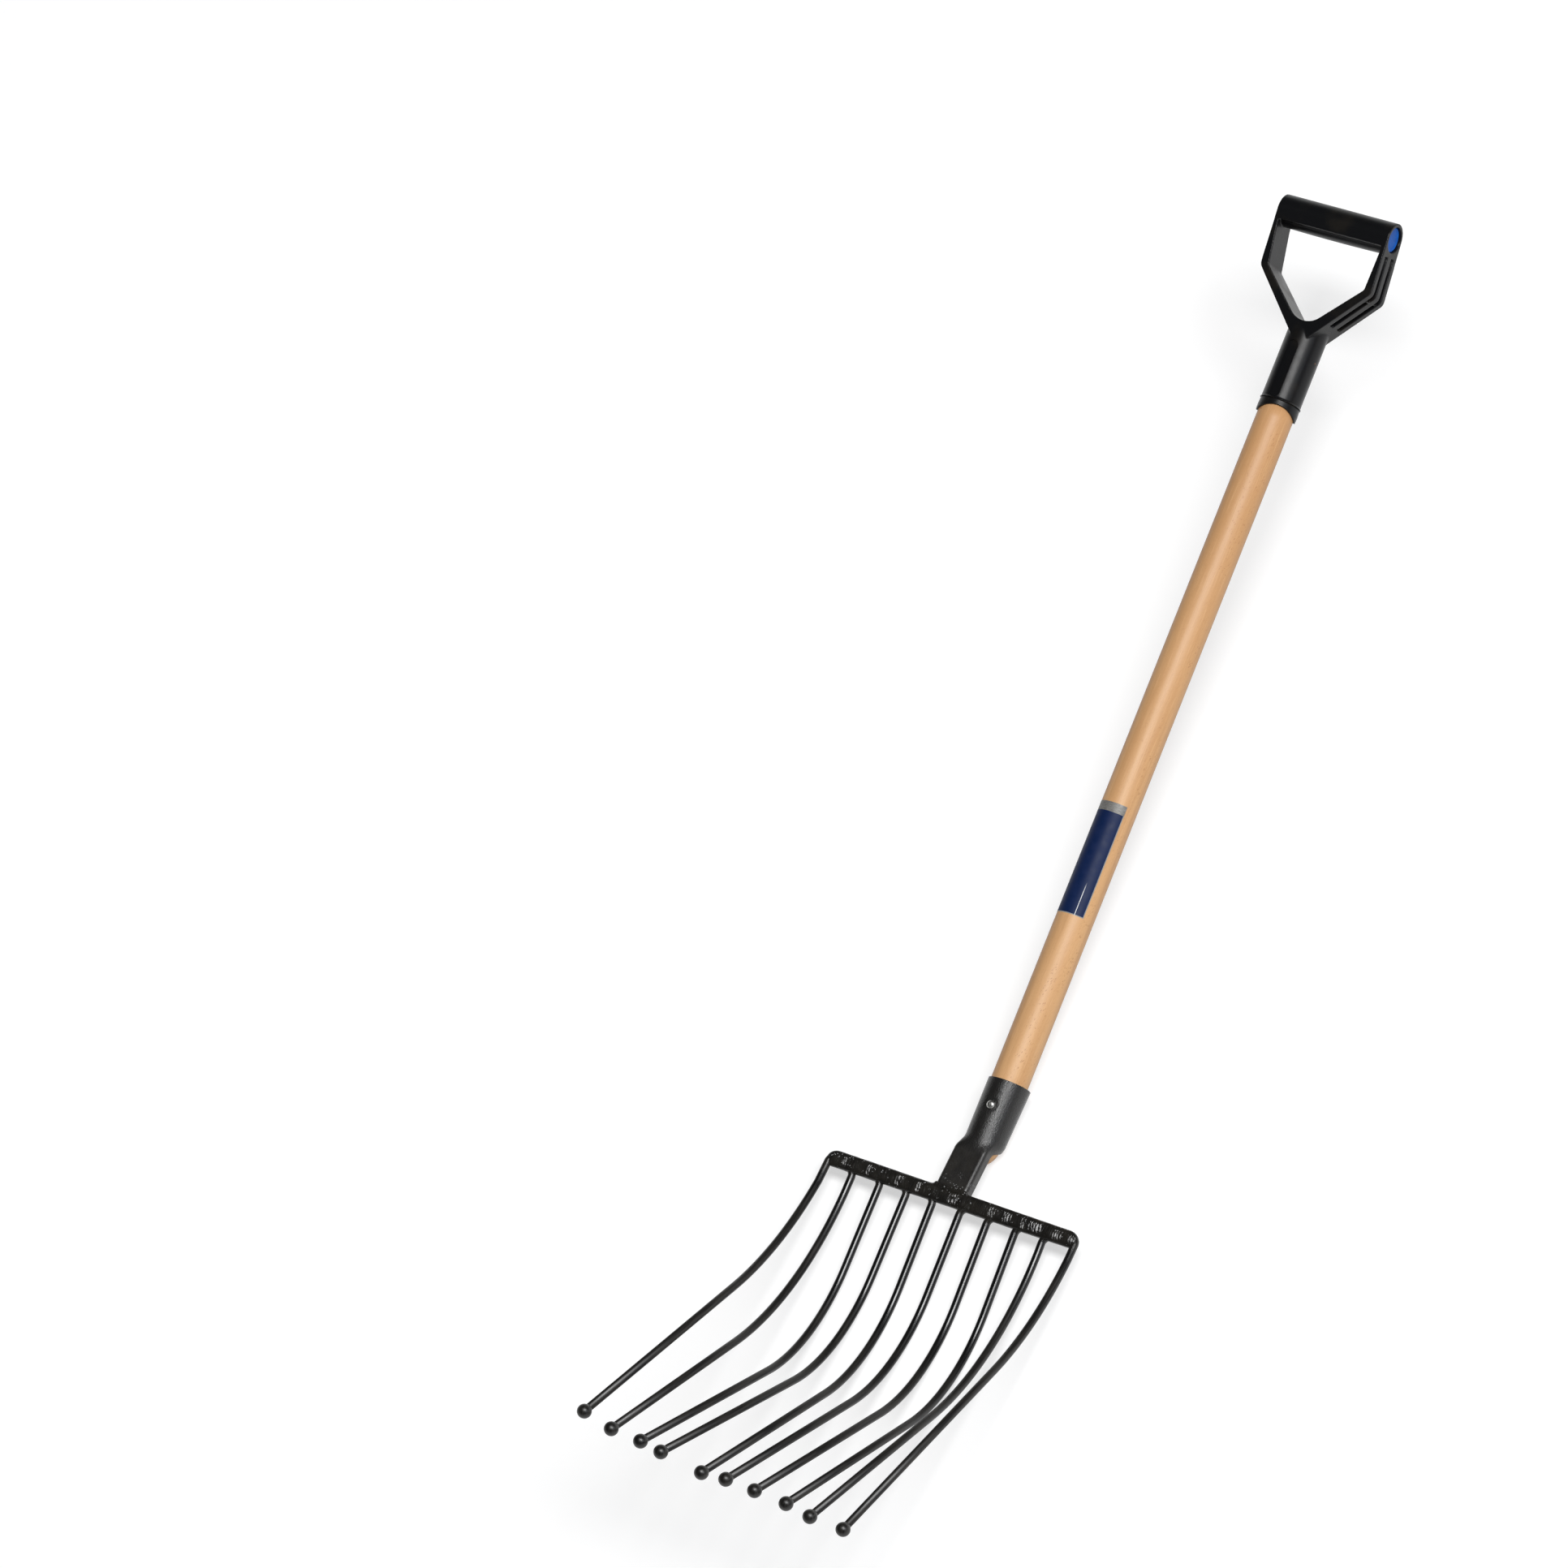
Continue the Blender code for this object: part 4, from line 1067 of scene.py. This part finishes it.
def shaft_radius(height):
    share = (height - SHAFT_TAPER_START) / (GRIP_MOUTH - SHAFT_TAPER_START)
    return SHAFT_LOW + share * (SHAFT_HIGH - SHAFT_LOW)


tenon_top = GRIP_MOUTH + BORE_LENGTH - GAP
shoulder = GRIP_MOUTH - GAP
wood_profile = [(0, tenon_top), (TENON - TENON_EDGE, tenon_top), (TENON, tenon_top - TENON_EDGE)]
wood_profile += [(TENON, shoulder)]
for step in range(SHAFT_ROWS + 1):
    height = shoulder + (SHAFT_TAPER_START - shoulder) * step / SHAFT_ROWS
    wood_profile.append((shaft_radius(height), height))
for step in range(FOOT_STEPS, -1, -1):
    angle = math.pi / 2 * step / FOOT_STEPS
    drop = (SHAFT_TAPER_END - SHAFT_FOOT) * (1 - math.cos(angle))
    wood_profile.append((SHAFT_TAPERED * math.sin(angle), SHAFT_FOOT + drop))
pole = turned("turned_shaft", wood_profile, SHAFT_SIDES, UP_THE_SHAFT)
hand_over(pole, looks["beech"], "beech", "shaft")
print("shaft", round(tenon_top - SHAFT_FOOT, 4), "m long")

# %% [markdown]
# ## The printed band
#
# A printed film wraps the shaft above the socket: a grained silver strip on top and a navy field
# under it, with a fine silver edge and one white line. It is a thin shell just proud of the wood.
# A second attribute holds lengths in metres along and round the shaft, so that the lines printed
# on it have real widths. The field is plain, with faint wear as its only change of colour.

# %% Print the film
BAND_TOP = 0.4298
BAND_LOW = 0.3106
BAND_LIFT = 0.00012
BAND_RIGHT = math.radians(49)
BAND_TURN = math.radians(215)
BAND_COLUMNS = 90
BAND_ROWS = 60
SILVER_HEIGHT = 0.0097
BORDER = 0.0009
LINE_ACROSS = 0.0098
LINE_WIDTH = 0.0007
LINE_TOP = 0.036
LINE_FADE = 0.012
PRINT_EDGE = 0.0001
FILM_WAVES = 0.00003
NAVY = (0.0035, 0.0150, 0.0680)
NAVY_WORN = (0.010, 0.022, 0.085)
SILVER = (0.30, 0.295, 0.28)
SILVER_DARK = (0.16, 0.155, 0.145)
BORDER_SILVER = (0.30, 0.31, 0.31)
LINE_WHITE = (0.72, 0.74, 0.76)


def film():
    """Navy, strip, border and line. X is round from the right edge, Y up from below."""
    look = Look("printed_film", "print")

    def below(value, edge):
        return look.step(value, edge - PRINT_EDGE, edge + PRINT_EDGE, 1.0, 0.0)

    silver_low = BAND_TOP - BAND_LOW - SILVER_HEIGHT
    strip = look.step(look.y, silver_low - PRINT_EDGE, silver_low + PRINT_EDGE)
    border = look.most(below(look.x, BORDER), below(look.y, BORDER))
    line = below(look.amount(look.less(look.x, LINE_ACROSS)), LINE_WIDTH / 2)
    line = look.times(line, look.step(look.y, LINE_TOP - LINE_FADE, LINE_TOP, 1.0, 0.0))
    dots = look.step(look.cells((1500, 1500, 1)), 0.2, 0.4)
    brushed = look.step(look.noise((250, 2200, 1), 3.0), 0.3, 0.7)
    wear = look.noise((120, 120, 1), 4.0, 2.0)
    colour = look.mix(look.step(wear, 0.4, 0.8, 0.0, 0.6), NAVY, NAVY_WORN)
    colour = look.mix(border, colour, BORDER_SILVER)
    colour = look.mix(line, colour, LINE_WHITE)
    colour = look.mix(strip, colour, look.mix(look.times(dots, brushed), SILVER_DARK, SILVER))
    return look.finish(
        Base_Color=colour, Roughness=look.step(wear, 0.3, 0.7, 0.46, 0.56), IOR=1.28,
        Metallic=look.times(strip, 0.25),
        Normal=look.bump(look.noise((700, 700, 1), 2.0), FILM_WAVES),
    )


looks["printed_film"] = film()
print("film of", len(looks["printed_film"].node_tree.nodes), "nodes")

# %% Wrap the band
band_rows, band_places = [], []
for step in range(BAND_ROWS + 1):
    height = BAND_TOP + (BAND_LOW - BAND_TOP) * step / BAND_ROWS
    row = []
    for column in range(BAND_COLUMNS + 1):
        angle = BAND_RIGHT - BAND_TURN * column / BAND_COLUMNS
        radius = shaft_radius(height) + BAND_LIFT
        row.append(round_shaft(radius, angle, height))
        band_places.append(Vector(((BAND_RIGHT - angle) * radius, height - BAND_LOW, 0)))
    band_rows.append(row)
band = solid("printed_band", *skin(band_rows, closed_rows=False, capped=False))
hand_over(band, looks["printed_film"], "beech")
printed = band.data.attributes.new("print", "FLOAT_VECTOR", "POINT")
for place, vector in zip(printed.data, band_places):
    place.vector = vector
print("band", round(BAND_TOP - BAND_LOW, 4), "m high")

# %% [markdown]
# ## The grip
#
# The D grip is one plastic moulding: a tube over the end of the shaft, two arms that part from it
# in a Y, and a hand bar between them, all leaning a little forward. Channels save plastic along
# the outside of both arms, in front and behind, and a thin web crosses each below its bend. The
# forms are joined and cut as plain solids first. Then a fine voxel remesh and a few rounds of
# smoothing turn every edge and inner corner into the small radius that a mould gives. The long
# panel on the tube is cut last, with a flat floor and a crisp rim, and a small pin that holds
# grip and shaft together shows on the right.

# %% Values of the grip
GRIP_RADIUS = 0.0205
D_SHOULDER = 0.0595
D_SHOULDER_ROUND = 0.010
D_FOOT = 0.0140
ARM_LOW = 0.0090
ARM_HIGH = 0.0050
D_ELBOW_RISE = 0.0037
D_ELBOW_ROUND = 0.004
D_CROTCH = 0.0100
D_CROTCH_ROUND = 0.022
OPENING_LEAN = math.radians(4)
OPENING_TOP_DROP = 0.010
D_HALF_DEPTH = 0.0182
GRIP_REACH = 0.060
BAR_RING = 0.0168
CHANNEL_DEPTH_HIGH = 0.0024
CHANNEL_DEPTH_LOW = 0.0055
CHANNEL_TOP = 0.103
CHANNEL_FOOT = 0.0215
CHANNEL_CLEAR = 0.0014
BAR_STEPS = 24
print("hand bar", round(LEAN_START + BAR_HEIGHT, 4), "m above the mouth of the grip")


# %% Plain solids to join and cut
def plate(name, outline, half_depth, place):
    """A closed outline thickened to both sides of its own plane."""
    rows = []
    for depth in (-half_depth, half_depth):
        rows.append([place @ Vector((point.x, point.y, depth)) for point in outline])
    return solid(name, *skin(rows))


# %% Outlines of the D
def arm_outside():
    """The lower outside of the right arm: its foot, its bend, along it and inward from it."""
    foot, bend = Vector((GRIP_RADIUS, D_FOOT)), Vector((D_OUTER, D_SHOULDER))
    along = (bend - foot).normalized()
    return foot, bend, along, Vector((-along.y, along.x))


def d_outline():
    """The two arms in one outline that meets in a V inside the tube."""
    foot, bend = arm_outside()[:2]
    slope = (bend.y - foot.y) / (bend.x - foot.x)
    vertex = Vector((0, foot.y - foot.x * slope))
    right = [bend, Vector((D_OUTER, BAR_HEIGHT + BAR_RING))]
    corners = [vertex, *right, *mirrored(right)]
    return closed_rounded(corners, [0, D_SHOULDER_ROUND, 0, 0, D_SHOULDER_ROUND], BEND_STEPS)


def side_outline():
    """The D seen from the side: flat faces, and round over the bar."""
    elbow = D_SHOULDER + D_ELBOW_RISE
    outline = [Vector((-GRIP_REACH, D_HALF_DEPTH)), Vector((elbow, D_HALF_DEPTH))]
    for step in range(BAR_STEPS + 1):
        angle = math.pi * step / BAR_STEPS
        along, out = BAR_HEIGHT + BAR_RING * math.sin(angle), BAR_RING * math.cos(angle)
        outline.append(Vector((along, out)))
    return outline + [Vector((elbow, -D_HALF_DEPTH)), Vector((-GRIP_REACH, -D_HALF_DEPTH))]


def opening_outline():
    """The hand opening, with a wide round crotch and tight elbows."""
    elbow = Vector((D_OUTER - ARM_LOW, D_SHOULDER + D_ELBOW_RISE))
    high = Vector((D_OUTER - ARM_HIGH, BAR_HEIGHT - BAR_RING))
    top = (BAR_HEIGHT - OPENING_TOP_DROP) * math.cos(LEAN)
    right = [elbow, high, Vector((high.x, top))]
    corners = [Vector((0, D_CROTCH)), *right, *mirrored(right)]
    radii = [D_CROTCH_ROUND, D_ELBOW_ROUND, 0, 0, 0, 0, D_ELBOW_ROUND]
    return closed_rounded(corners, radii, BEND_STEPS)


def channel_outline():
    """Plan of the channels along the outside of the right arm."""
    foot, bend, along, inward = arm_outside()
    start = foot + along * ((CHANNEL_FOOT - foot.y) / along.y)
    low = start + inward * CHANNEL_DEPTH_LOW
    elbow = low + along * ((bend.x - CHANNEL_DEPTH_LOW - low.x) / along.x)
    high = Vector((bend.x - CHANNEL_DEPTH_HIGH, CHANNEL_TOP))
    clear = bend.x + CHANNEL_CLEAR
    outer = [Vector((clear, CHANNEL_TOP)), Vector((clear, bend.y)), start - inward * CHANNEL_CLEAR]
    return [low, elbow, high, *outer]


print("outline of the D", len(d_outline()), "points, of its opening", len(opening_outline()))

# %% Join the forms of the grip
GRIP_LIP = 0.0011
GRIP_LIP_HEIGHT = 0.0009
TUBE_LENGTH = 0.1005
BAR_END = 0.0158
BAR_MIDDLE = 0.0166
BAR_SHORT = 0.0008
BAR_ROWS = 12
GRIP_SIDES = 96
SIDE_CLEAR = 1.1

ALONG_X = Matrix(((0, 0, 1, 0), (1, 0, 0, 0), (0, 1, 0, 0), (0, 0, 0, 1)))
grip = plate("moulded_grip", d_outline(), GRIP_REACH, UPRIGHT)
side_form = plate("side_form", side_outline(), D_OUTER * SIDE_CLEAR, LEANING @ ALONG_X)
combine(grip, side_form, "INTERSECT")
lip_top, lip_radius = GRIP_MOUTH + GRIP_LIP_HEIGHT, GRIP_RADIUS + GRIP_LIP
tube_profile = [(0, GRIP_MOUTH + TUBE_LENGTH), (GRIP_RADIUS, GRIP_MOUTH + TUBE_LENGTH)]
tube_profile += [(GRIP_RADIUS, lip_top), (lip_radius, lip_top), (lip_radius, GRIP_MOUTH)]
tube_profile += [(0, GRIP_MOUTH)]
tube = turned("tube_form", tube_profile, GRIP_SIDES, UP_THE_SHAFT)
combine(grip, tube, "UNION")
through = UPRIGHT @ Matrix.Rotation(OPENING_LEAN, 4, "X")
opening = plate("hand_opening", opening_outline(), GRIP_REACH, through)
combine(grip, opening, "DIFFERENCE")
bar_length = D_OUTER - BAR_SHORT
bar_profile = [(0, bar_length)]
for step in range(BAR_ROWS + 1):
    share = 1 - step / (BAR_ROWS / 2)
    bar_profile.append((BAR_MIDDLE + (BAR_END - BAR_MIDDLE) * share**2, bar_length * share))
bar_profile.append((0, -bar_length))
across = Matrix.Translation((0, BAR_HEIGHT, 0)) @ Matrix.Rotation(math.pi / 2, 4, "Y")
bar = turned("bar_form", bar_profile, GRIP_SIDES, LEANING @ across)
combine(grip, bar, "UNION")
settle(grip, side_form, tube, opening, bar)
print("grip joined,", len(grip.data.polygons), "faces")

# %% Cut the bore, the channels and the seats of the caps
def beside_arms(name, plan, half_depth):
    """The same plate in front and behind, on the right arm and mirrored on the left."""
    plates = []
    for side, outline in (("right", plan), ("left", mirrored(plan))):
        for face, sign in (("front", 1), ("back", -1)):
            place = LEANING @ Matrix.Translation((0, 0, sign * channel_middle))
            plates.append(plate(f"{name}_{side}_{face}", outline, half_depth, place))
    return plates


def bar_end(sign):
    """Where the hand bar ends on one side, with local Z pointing outward."""
    turn = Matrix.Rotation(sign * math.pi / 2, 4, "Y")
    return LEANING @ Matrix.Translation((sign * D_OUTER, BAR_HEIGHT, 0)) @ turn


def pocket(radius, top, low):
    """The profile of a plain round cutter."""
    return [(0, top), (radius, top), (radius, low), (0, low)]


CHANNEL_INNER = 0.0044
CHANNEL_OUTER = 0.0104
CAP = 0.0128
BORE_PAST = 0.001

bore_profile = pocket(TENON + GAP, GRIP_MOUTH + BORE_LENGTH, GRIP_MOUTH - BORE_PAST)
cutters = [turned("bore", bore_profile, GRIP_SIDES, UP_THE_SHAFT)]
channel_half = (CHANNEL_OUTER - CHANNEL_INNER) / 2
channel_middle = (CHANNEL_OUTER + CHANNEL_INNER) / 2
cutters += beside_arms("channel", channel_outline(), channel_half)
seat_profile = pocket(CAP + GAP, CAP_DEPTH, -CAP_DEPTH - CAP_THICKNESS - GAP)
for side, sign in (("left", -1), ("right", 1)):
    cutters.append(turned(f"cap_seat_{side}", seat_profile, GRIP_SIDES, bar_end(sign)))
for cutter in cutters:
    combine(grip, cutter, "DIFFERENCE")
print("cutters", len(cutters))
settle(grip, *cutters)

# %% Set a thin web across each channel
WEB_THICKNESS = 0.0014
WEB_BELOW_BEND = 0.008
WEB_SUNK = 0.0007


def web_outline():
    """A thin wall across a channel of the right arm, a little below the bend."""
    foot, bend, along, inward = arm_outside()
    outer = bend - along * WEB_BELOW_BEND + inward * WEB_SUNK
    inner = outer + inward * CHANNEL_DEPTH_LOW
    return [outer, outer + along * WEB_THICKNESS, inner + along * WEB_THICKNESS, inner]


webs = beside_arms("web", web_outline(), channel_half + GAP)
for web in webs:
    combine(grip, web, "UNION")
print("webs", len(webs))
settle(grip, *webs)

# %% Round it like a moulding
VOXEL = 0.0005
MOULD_ROUNDS = 18

remesh = grip.modifiers.new("Voxels", "REMESH")
remesh.mode = "VOXEL"
remesh.voxel_size = VOXEL
smooth = grip.modifiers.new("Mould", "SMOOTH")
smooth.factor = 0.5
smooth.iterations = MOULD_ROUNDS
settle(grip)
print("grip moulded,", len(grip.data.polygons), "faces")

# %% Sink the panel
PANEL_LENGTH = 0.061
PANEL_WIDTH = 0.0123
PANEL_DEPTH = 0.0004
PANEL_ROUND = 0.006
PANEL_HEIGHT = 0.0315
PANEL_TURN = math.radians(-5)
PANEL_REACH = 0.006
SHARP = math.radians(62)

half_wide, half_long = PANEL_WIDTH / 2, PANEL_LENGTH / 2
panel_corners = [
    Vector((half_wide * across, half_long * along))
    for across, along in ((1, 1), (-1, 1), (-1, -1), (1, -1))
]
panel_outline = closed_rounded(panel_corners, [PANEL_ROUND] * 4, BEND_STEPS)
panel_floor = math.sqrt(GRIP_RADIUS**2 - half_wide**2) - PANEL_DEPTH
panel_place = Matrix.Translation((0, GRIP_MOUTH + PANEL_HEIGHT, -SHAFT_BACK))
panel_place = panel_place @ Matrix.Rotation(PANEL_TURN, 4, "Y")
panel_place = panel_place @ Matrix.Translation((0, 0, panel_floor + PANEL_REACH))
panel = plate("panel", panel_outline, PANEL_REACH, panel_place)
combine(grip, panel, "DIFFERENCE")
settle(grip, panel)
hand_over(grip, looks["black_plastic"], "black_plastic", "grip")
grip.data.set_sharp_from_angle(angle=SHARP)
print("panel sunk to", round(panel_floor, 4), "m from the middle of the tube")

# %% Drive the pin through the tube
PIN_HEIGHT = 0.913
PIN_TURN = math.radians(84)
PIN_HEAD = 0.0008
PIN_DOME = 0.0003
PIN_SUNK = 0.0010
PIN_SIDES = 24

pin_place = Matrix.Translation((0, PIN_HEIGHT, -SHAFT_BACK)) @ Matrix.Rotation(PIN_TURN, 4, "Y")
pin_profile = [(0, PIN_DOME), (PIN_HEAD * 0.7, PIN_DOME * 0.7), (PIN_HEAD, 0)]
pin_profile += [(PIN_HEAD, -PIN_SUNK), (0, -PIN_SUNK)]
pin_profile = [(radius, GRIP_RADIUS + rise) for radius, rise in pin_profile]
pin = turned("grip_pin", pin_profile, PIN_SIDES, pin_place)
hand_over(pin, looks["rusty_pin"], "bright_zinc")
print("pin", round(2000 * PIN_HEAD, 2), "mm across")

# %% [markdown]
# ## Caps and collar
#
# A blue plug closes each end of the hand bar, a little inside its rim. A soft black collar sits
# under the grip, arched up at front and back to show the wood.

# %% Turn the caps
CAP_EDGE = 0.0006
CAP_DISH = 0.0004
CAP_RIM = 0.0018
CAP_RIM_SLOPE = 0.0004
CAP_RINGS = 6
CAP_SIDES = 64

dish = CAP - CAP_RIM - CAP_RIM_SLOPE
cap_profile = [(dish * step / CAP_RINGS, -CAP_DEPTH - CAP_DISH) for step in range(CAP_RINGS + 1)]
for inward, drop in ((CAP_RIM, 0), (CAP_EDGE, 0), (CAP_EDGE * 0.3, CAP_EDGE * 0.3), (0, CAP_EDGE)):
    cap_profile.append((CAP - inward, -CAP_DEPTH - drop))
cap_profile += [(CAP, -CAP_DEPTH - CAP_THICKNESS), (0, -CAP_DEPTH - CAP_THICKNESS)]
for side, sign in (("left", -1), ("right", 1)):
    cap = turned(f"bar_plug_{side}", cap_profile, CAP_SIDES, bar_end(sign))
    hand_over(cap, looks["blue_plastic"], "blue_plastic", f"grip_cap_{side}")
print("caps", round(2000 * CAP, 1), "mm across")

# %% Shape the collar
COLLAR_TOP_RADIUS = 0.0204
COLLAR_WIDEST = 0.0209
COLLAR_WIDEST_DROP = 0.0075
COLLAR_LENGTH = 0.0165
COLLAR_ARCH_DROP = 0.0055
COLLAR_ARCH = 0.0313
COLLAR_TURN = math.radians(22)
COLLAR_COLUMNS = 144
COLLAR_ROWS = 12
COLLAR_EDGE = 0.0005


def collar_foot(angle):
    """Height of the collar's lower edge, arched at front and back."""
    aside = COLLAR_WIDEST * math.sin(angle - COLLAR_TURN)
    arch = GRIP_MOUTH - COLLAR_ARCH_DROP - COLLAR_ARCH + math.sqrt(COLLAR_ARCH**2 - aside**2)
    return max(arch, GRIP_MOUTH - COLLAR_LENGTH)


def collar_radius(height):
    """Radius of the collar's outside, widest a little under the grip."""
    drop = GRIP_MOUTH - height
    if drop < COLLAR_WIDEST_DROP:
        share = drop / COLLAR_WIDEST_DROP
    else:
        share = 1 - (drop - COLLAR_WIDEST_DROP) / (COLLAR_LENGTH - COLLAR_WIDEST_DROP)
    return COLLAR_TOP_RADIUS + max(share, 0) * (COLLAR_WIDEST - COLLAR_TOP_RADIUS)


def collar_profile(angle):
    """The collar's section at one angle: down its outside, round its edge and up its bore."""
    top, foot, inner = GRIP_MOUTH - GAP, collar_foot(angle), SHAFT_HIGH + 2 * GAP
    profile = [(inner, top)]
    for step in range(COLLAR_ROWS + 1):
        height = top + (foot + COLLAR_EDGE - top) * step / COLLAR_ROWS
        profile.append((collar_radius(height), height))
    for inward, rise in ((COLLAR_EDGE * 0.3, COLLAR_EDGE * 0.3), (COLLAR_EDGE, 0)):
        profile.append((collar_radius(foot) - inward, foot + rise))
    return profile + [(inner, foot), (inner, top)]


collar_columns = []
for column in range(COLLAR_COLUMNS):
    angle = 2 * math.pi * column / COLLAR_COLUMNS
    profile = collar_profile(angle)
    collar_columns.append([round_shaft(radius, angle, height) for radius, height in profile])
collar = solid("arched_collar", *skin(list(zip(*collar_columns)), capped=False))
hand_over(collar, looks["black_plastic"], "black_plastic", "grip_collar")
print("collar of", len(collar.data.polygons), "faces")

# %% [markdown]
# ## Floor and light
#
# The fork lies on a plain white floor under a dim ceiling. One broad, low lamp stands beside the
# camera. On the tines it shows as a clean line just left of their middle and it goes out where
# they bend away, as in the photograph. A second, weaker lamp on the right gives the soft grey
# that fades towards the right side of rods, socket and grip. The floor adds some white of its
# own, for the camera and for mirrored or refracted rays only. So it stays white and keeps the
# shadow, and throws no more light on the fork.

# %% Lay the floor
FLOOR_HALF = 30
FLOOR_WHITE = (0.50, 0.50, 0.50, 1)
FLOOR_GLOW = 0.58

floor_mesh = bpy.data.meshes.new("floor")
floor_corners = [(-1, -1), (1, -1), (1, 1), (-1, 1)]
floor_points = [(FLOOR_HALF * across, FLOOR_HALF * along, 0) for across, along in floor_corners]
floor_mesh.from_pydata(floor_points, [], [(0, 1, 2, 3)])
floor = bpy.data.objects.new("floor", floor_mesh)
bpy.context.scene.collection.objects.link(floor)
ground = Look("floor")
rays = ground.add("ShaderNodeLightPath", {})
seen = ground.most(rays.outputs["Is Camera Ray"], rays.outputs["Is Glossy Ray"])
seen = ground.most(seen, rays.outputs["Is Transmission Ray"])
ground.finish(
    Base_Color=FLOOR_WHITE, Roughness=1.0, Specular_IOR_Level=0.0,
    Emission_Color=(1, 1, 1, 1), Emission_Strength=ground.times(seen, FLOOR_GLOW),
)
floor.data.materials.append(ground.material)
print("floor", 2 * FLOOR_HALF, "m square")

# %% Set the ceiling and the lamps
CEILING = 0.04
WALL = 0.5
WALL_TOP = 0.02
CEILING_START = 0.3
LAMP_DISTANCE = 16.0
WHITE = (1, 1, 1)
COOL = (0.90, 0.93, 1)
LAMPS = {
    "key": {"round": 23, "up": 13, "wide": 32, "high": 16, "watts": 2350, "colour": WHITE},
    "fill": {"round": 54, "up": 10, "wide": 28, "high": 34, "watts": 440, "colour": COOL},
}

world = bpy.data.worlds.new("studio")
world.use_nodes = True
sky = world.node_tree
place = sky.nodes.new("ShaderNodeTexCoord")
upward = sky.nodes.new("ShaderNodeSeparateXYZ")
fade = sky.nodes.new("ShaderNodeMapRange")
fade.interpolation_type = "SMOOTHSTEP"
fade_values = {"From Min": WALL_TOP, "From Max": CEILING_START, "To Min": WALL, "To Max": CEILING}
for name, value in fade_values.items():
    fade.inputs[name].default_value = value
sky.links.new(place.outputs["Generated"], upward.inputs["Vector"])
sky.links.new(upward.outputs["Z"], fade.inputs["Value"])
sky.links.new(fade.outputs["Result"], sky.nodes["Background"].inputs["Strength"])
sky.nodes["Background"].inputs["Color"].default_value = (*WHITE, 1)
bpy.context.scene.world = world

for name, lamp in LAMPS.items():
    data = bpy.data.lights.new(name, "AREA")
    data.shape = "RECTANGLE"
    data.size = 2 * LAMP_DISTANCE * math.tan(math.radians(lamp["wide"] / 2))
    data.size_y = 2 * LAMP_DISTANCE * math.tan(math.radians(lamp["high"] / 2))
    data.energy = lamp["watts"]
    data.color = lamp["colour"]
    stand = bpy.data.objects.new(name, data)
    bpy.context.scene.collection.objects.link(stand)
    turn = Matrix.Rotation(math.radians(lamp["round"]), 4, "Y")
    tilt = Matrix.Rotation(-math.radians(lamp["up"]), 4, "X")
    stand.matrix_world = LIE @ turn @ tilt @ Matrix.Translation((0, 0, LAMP_DISTANCE))
    print(name, "lamp at", [round(value, 2) for value in stand.matrix_world.translation])
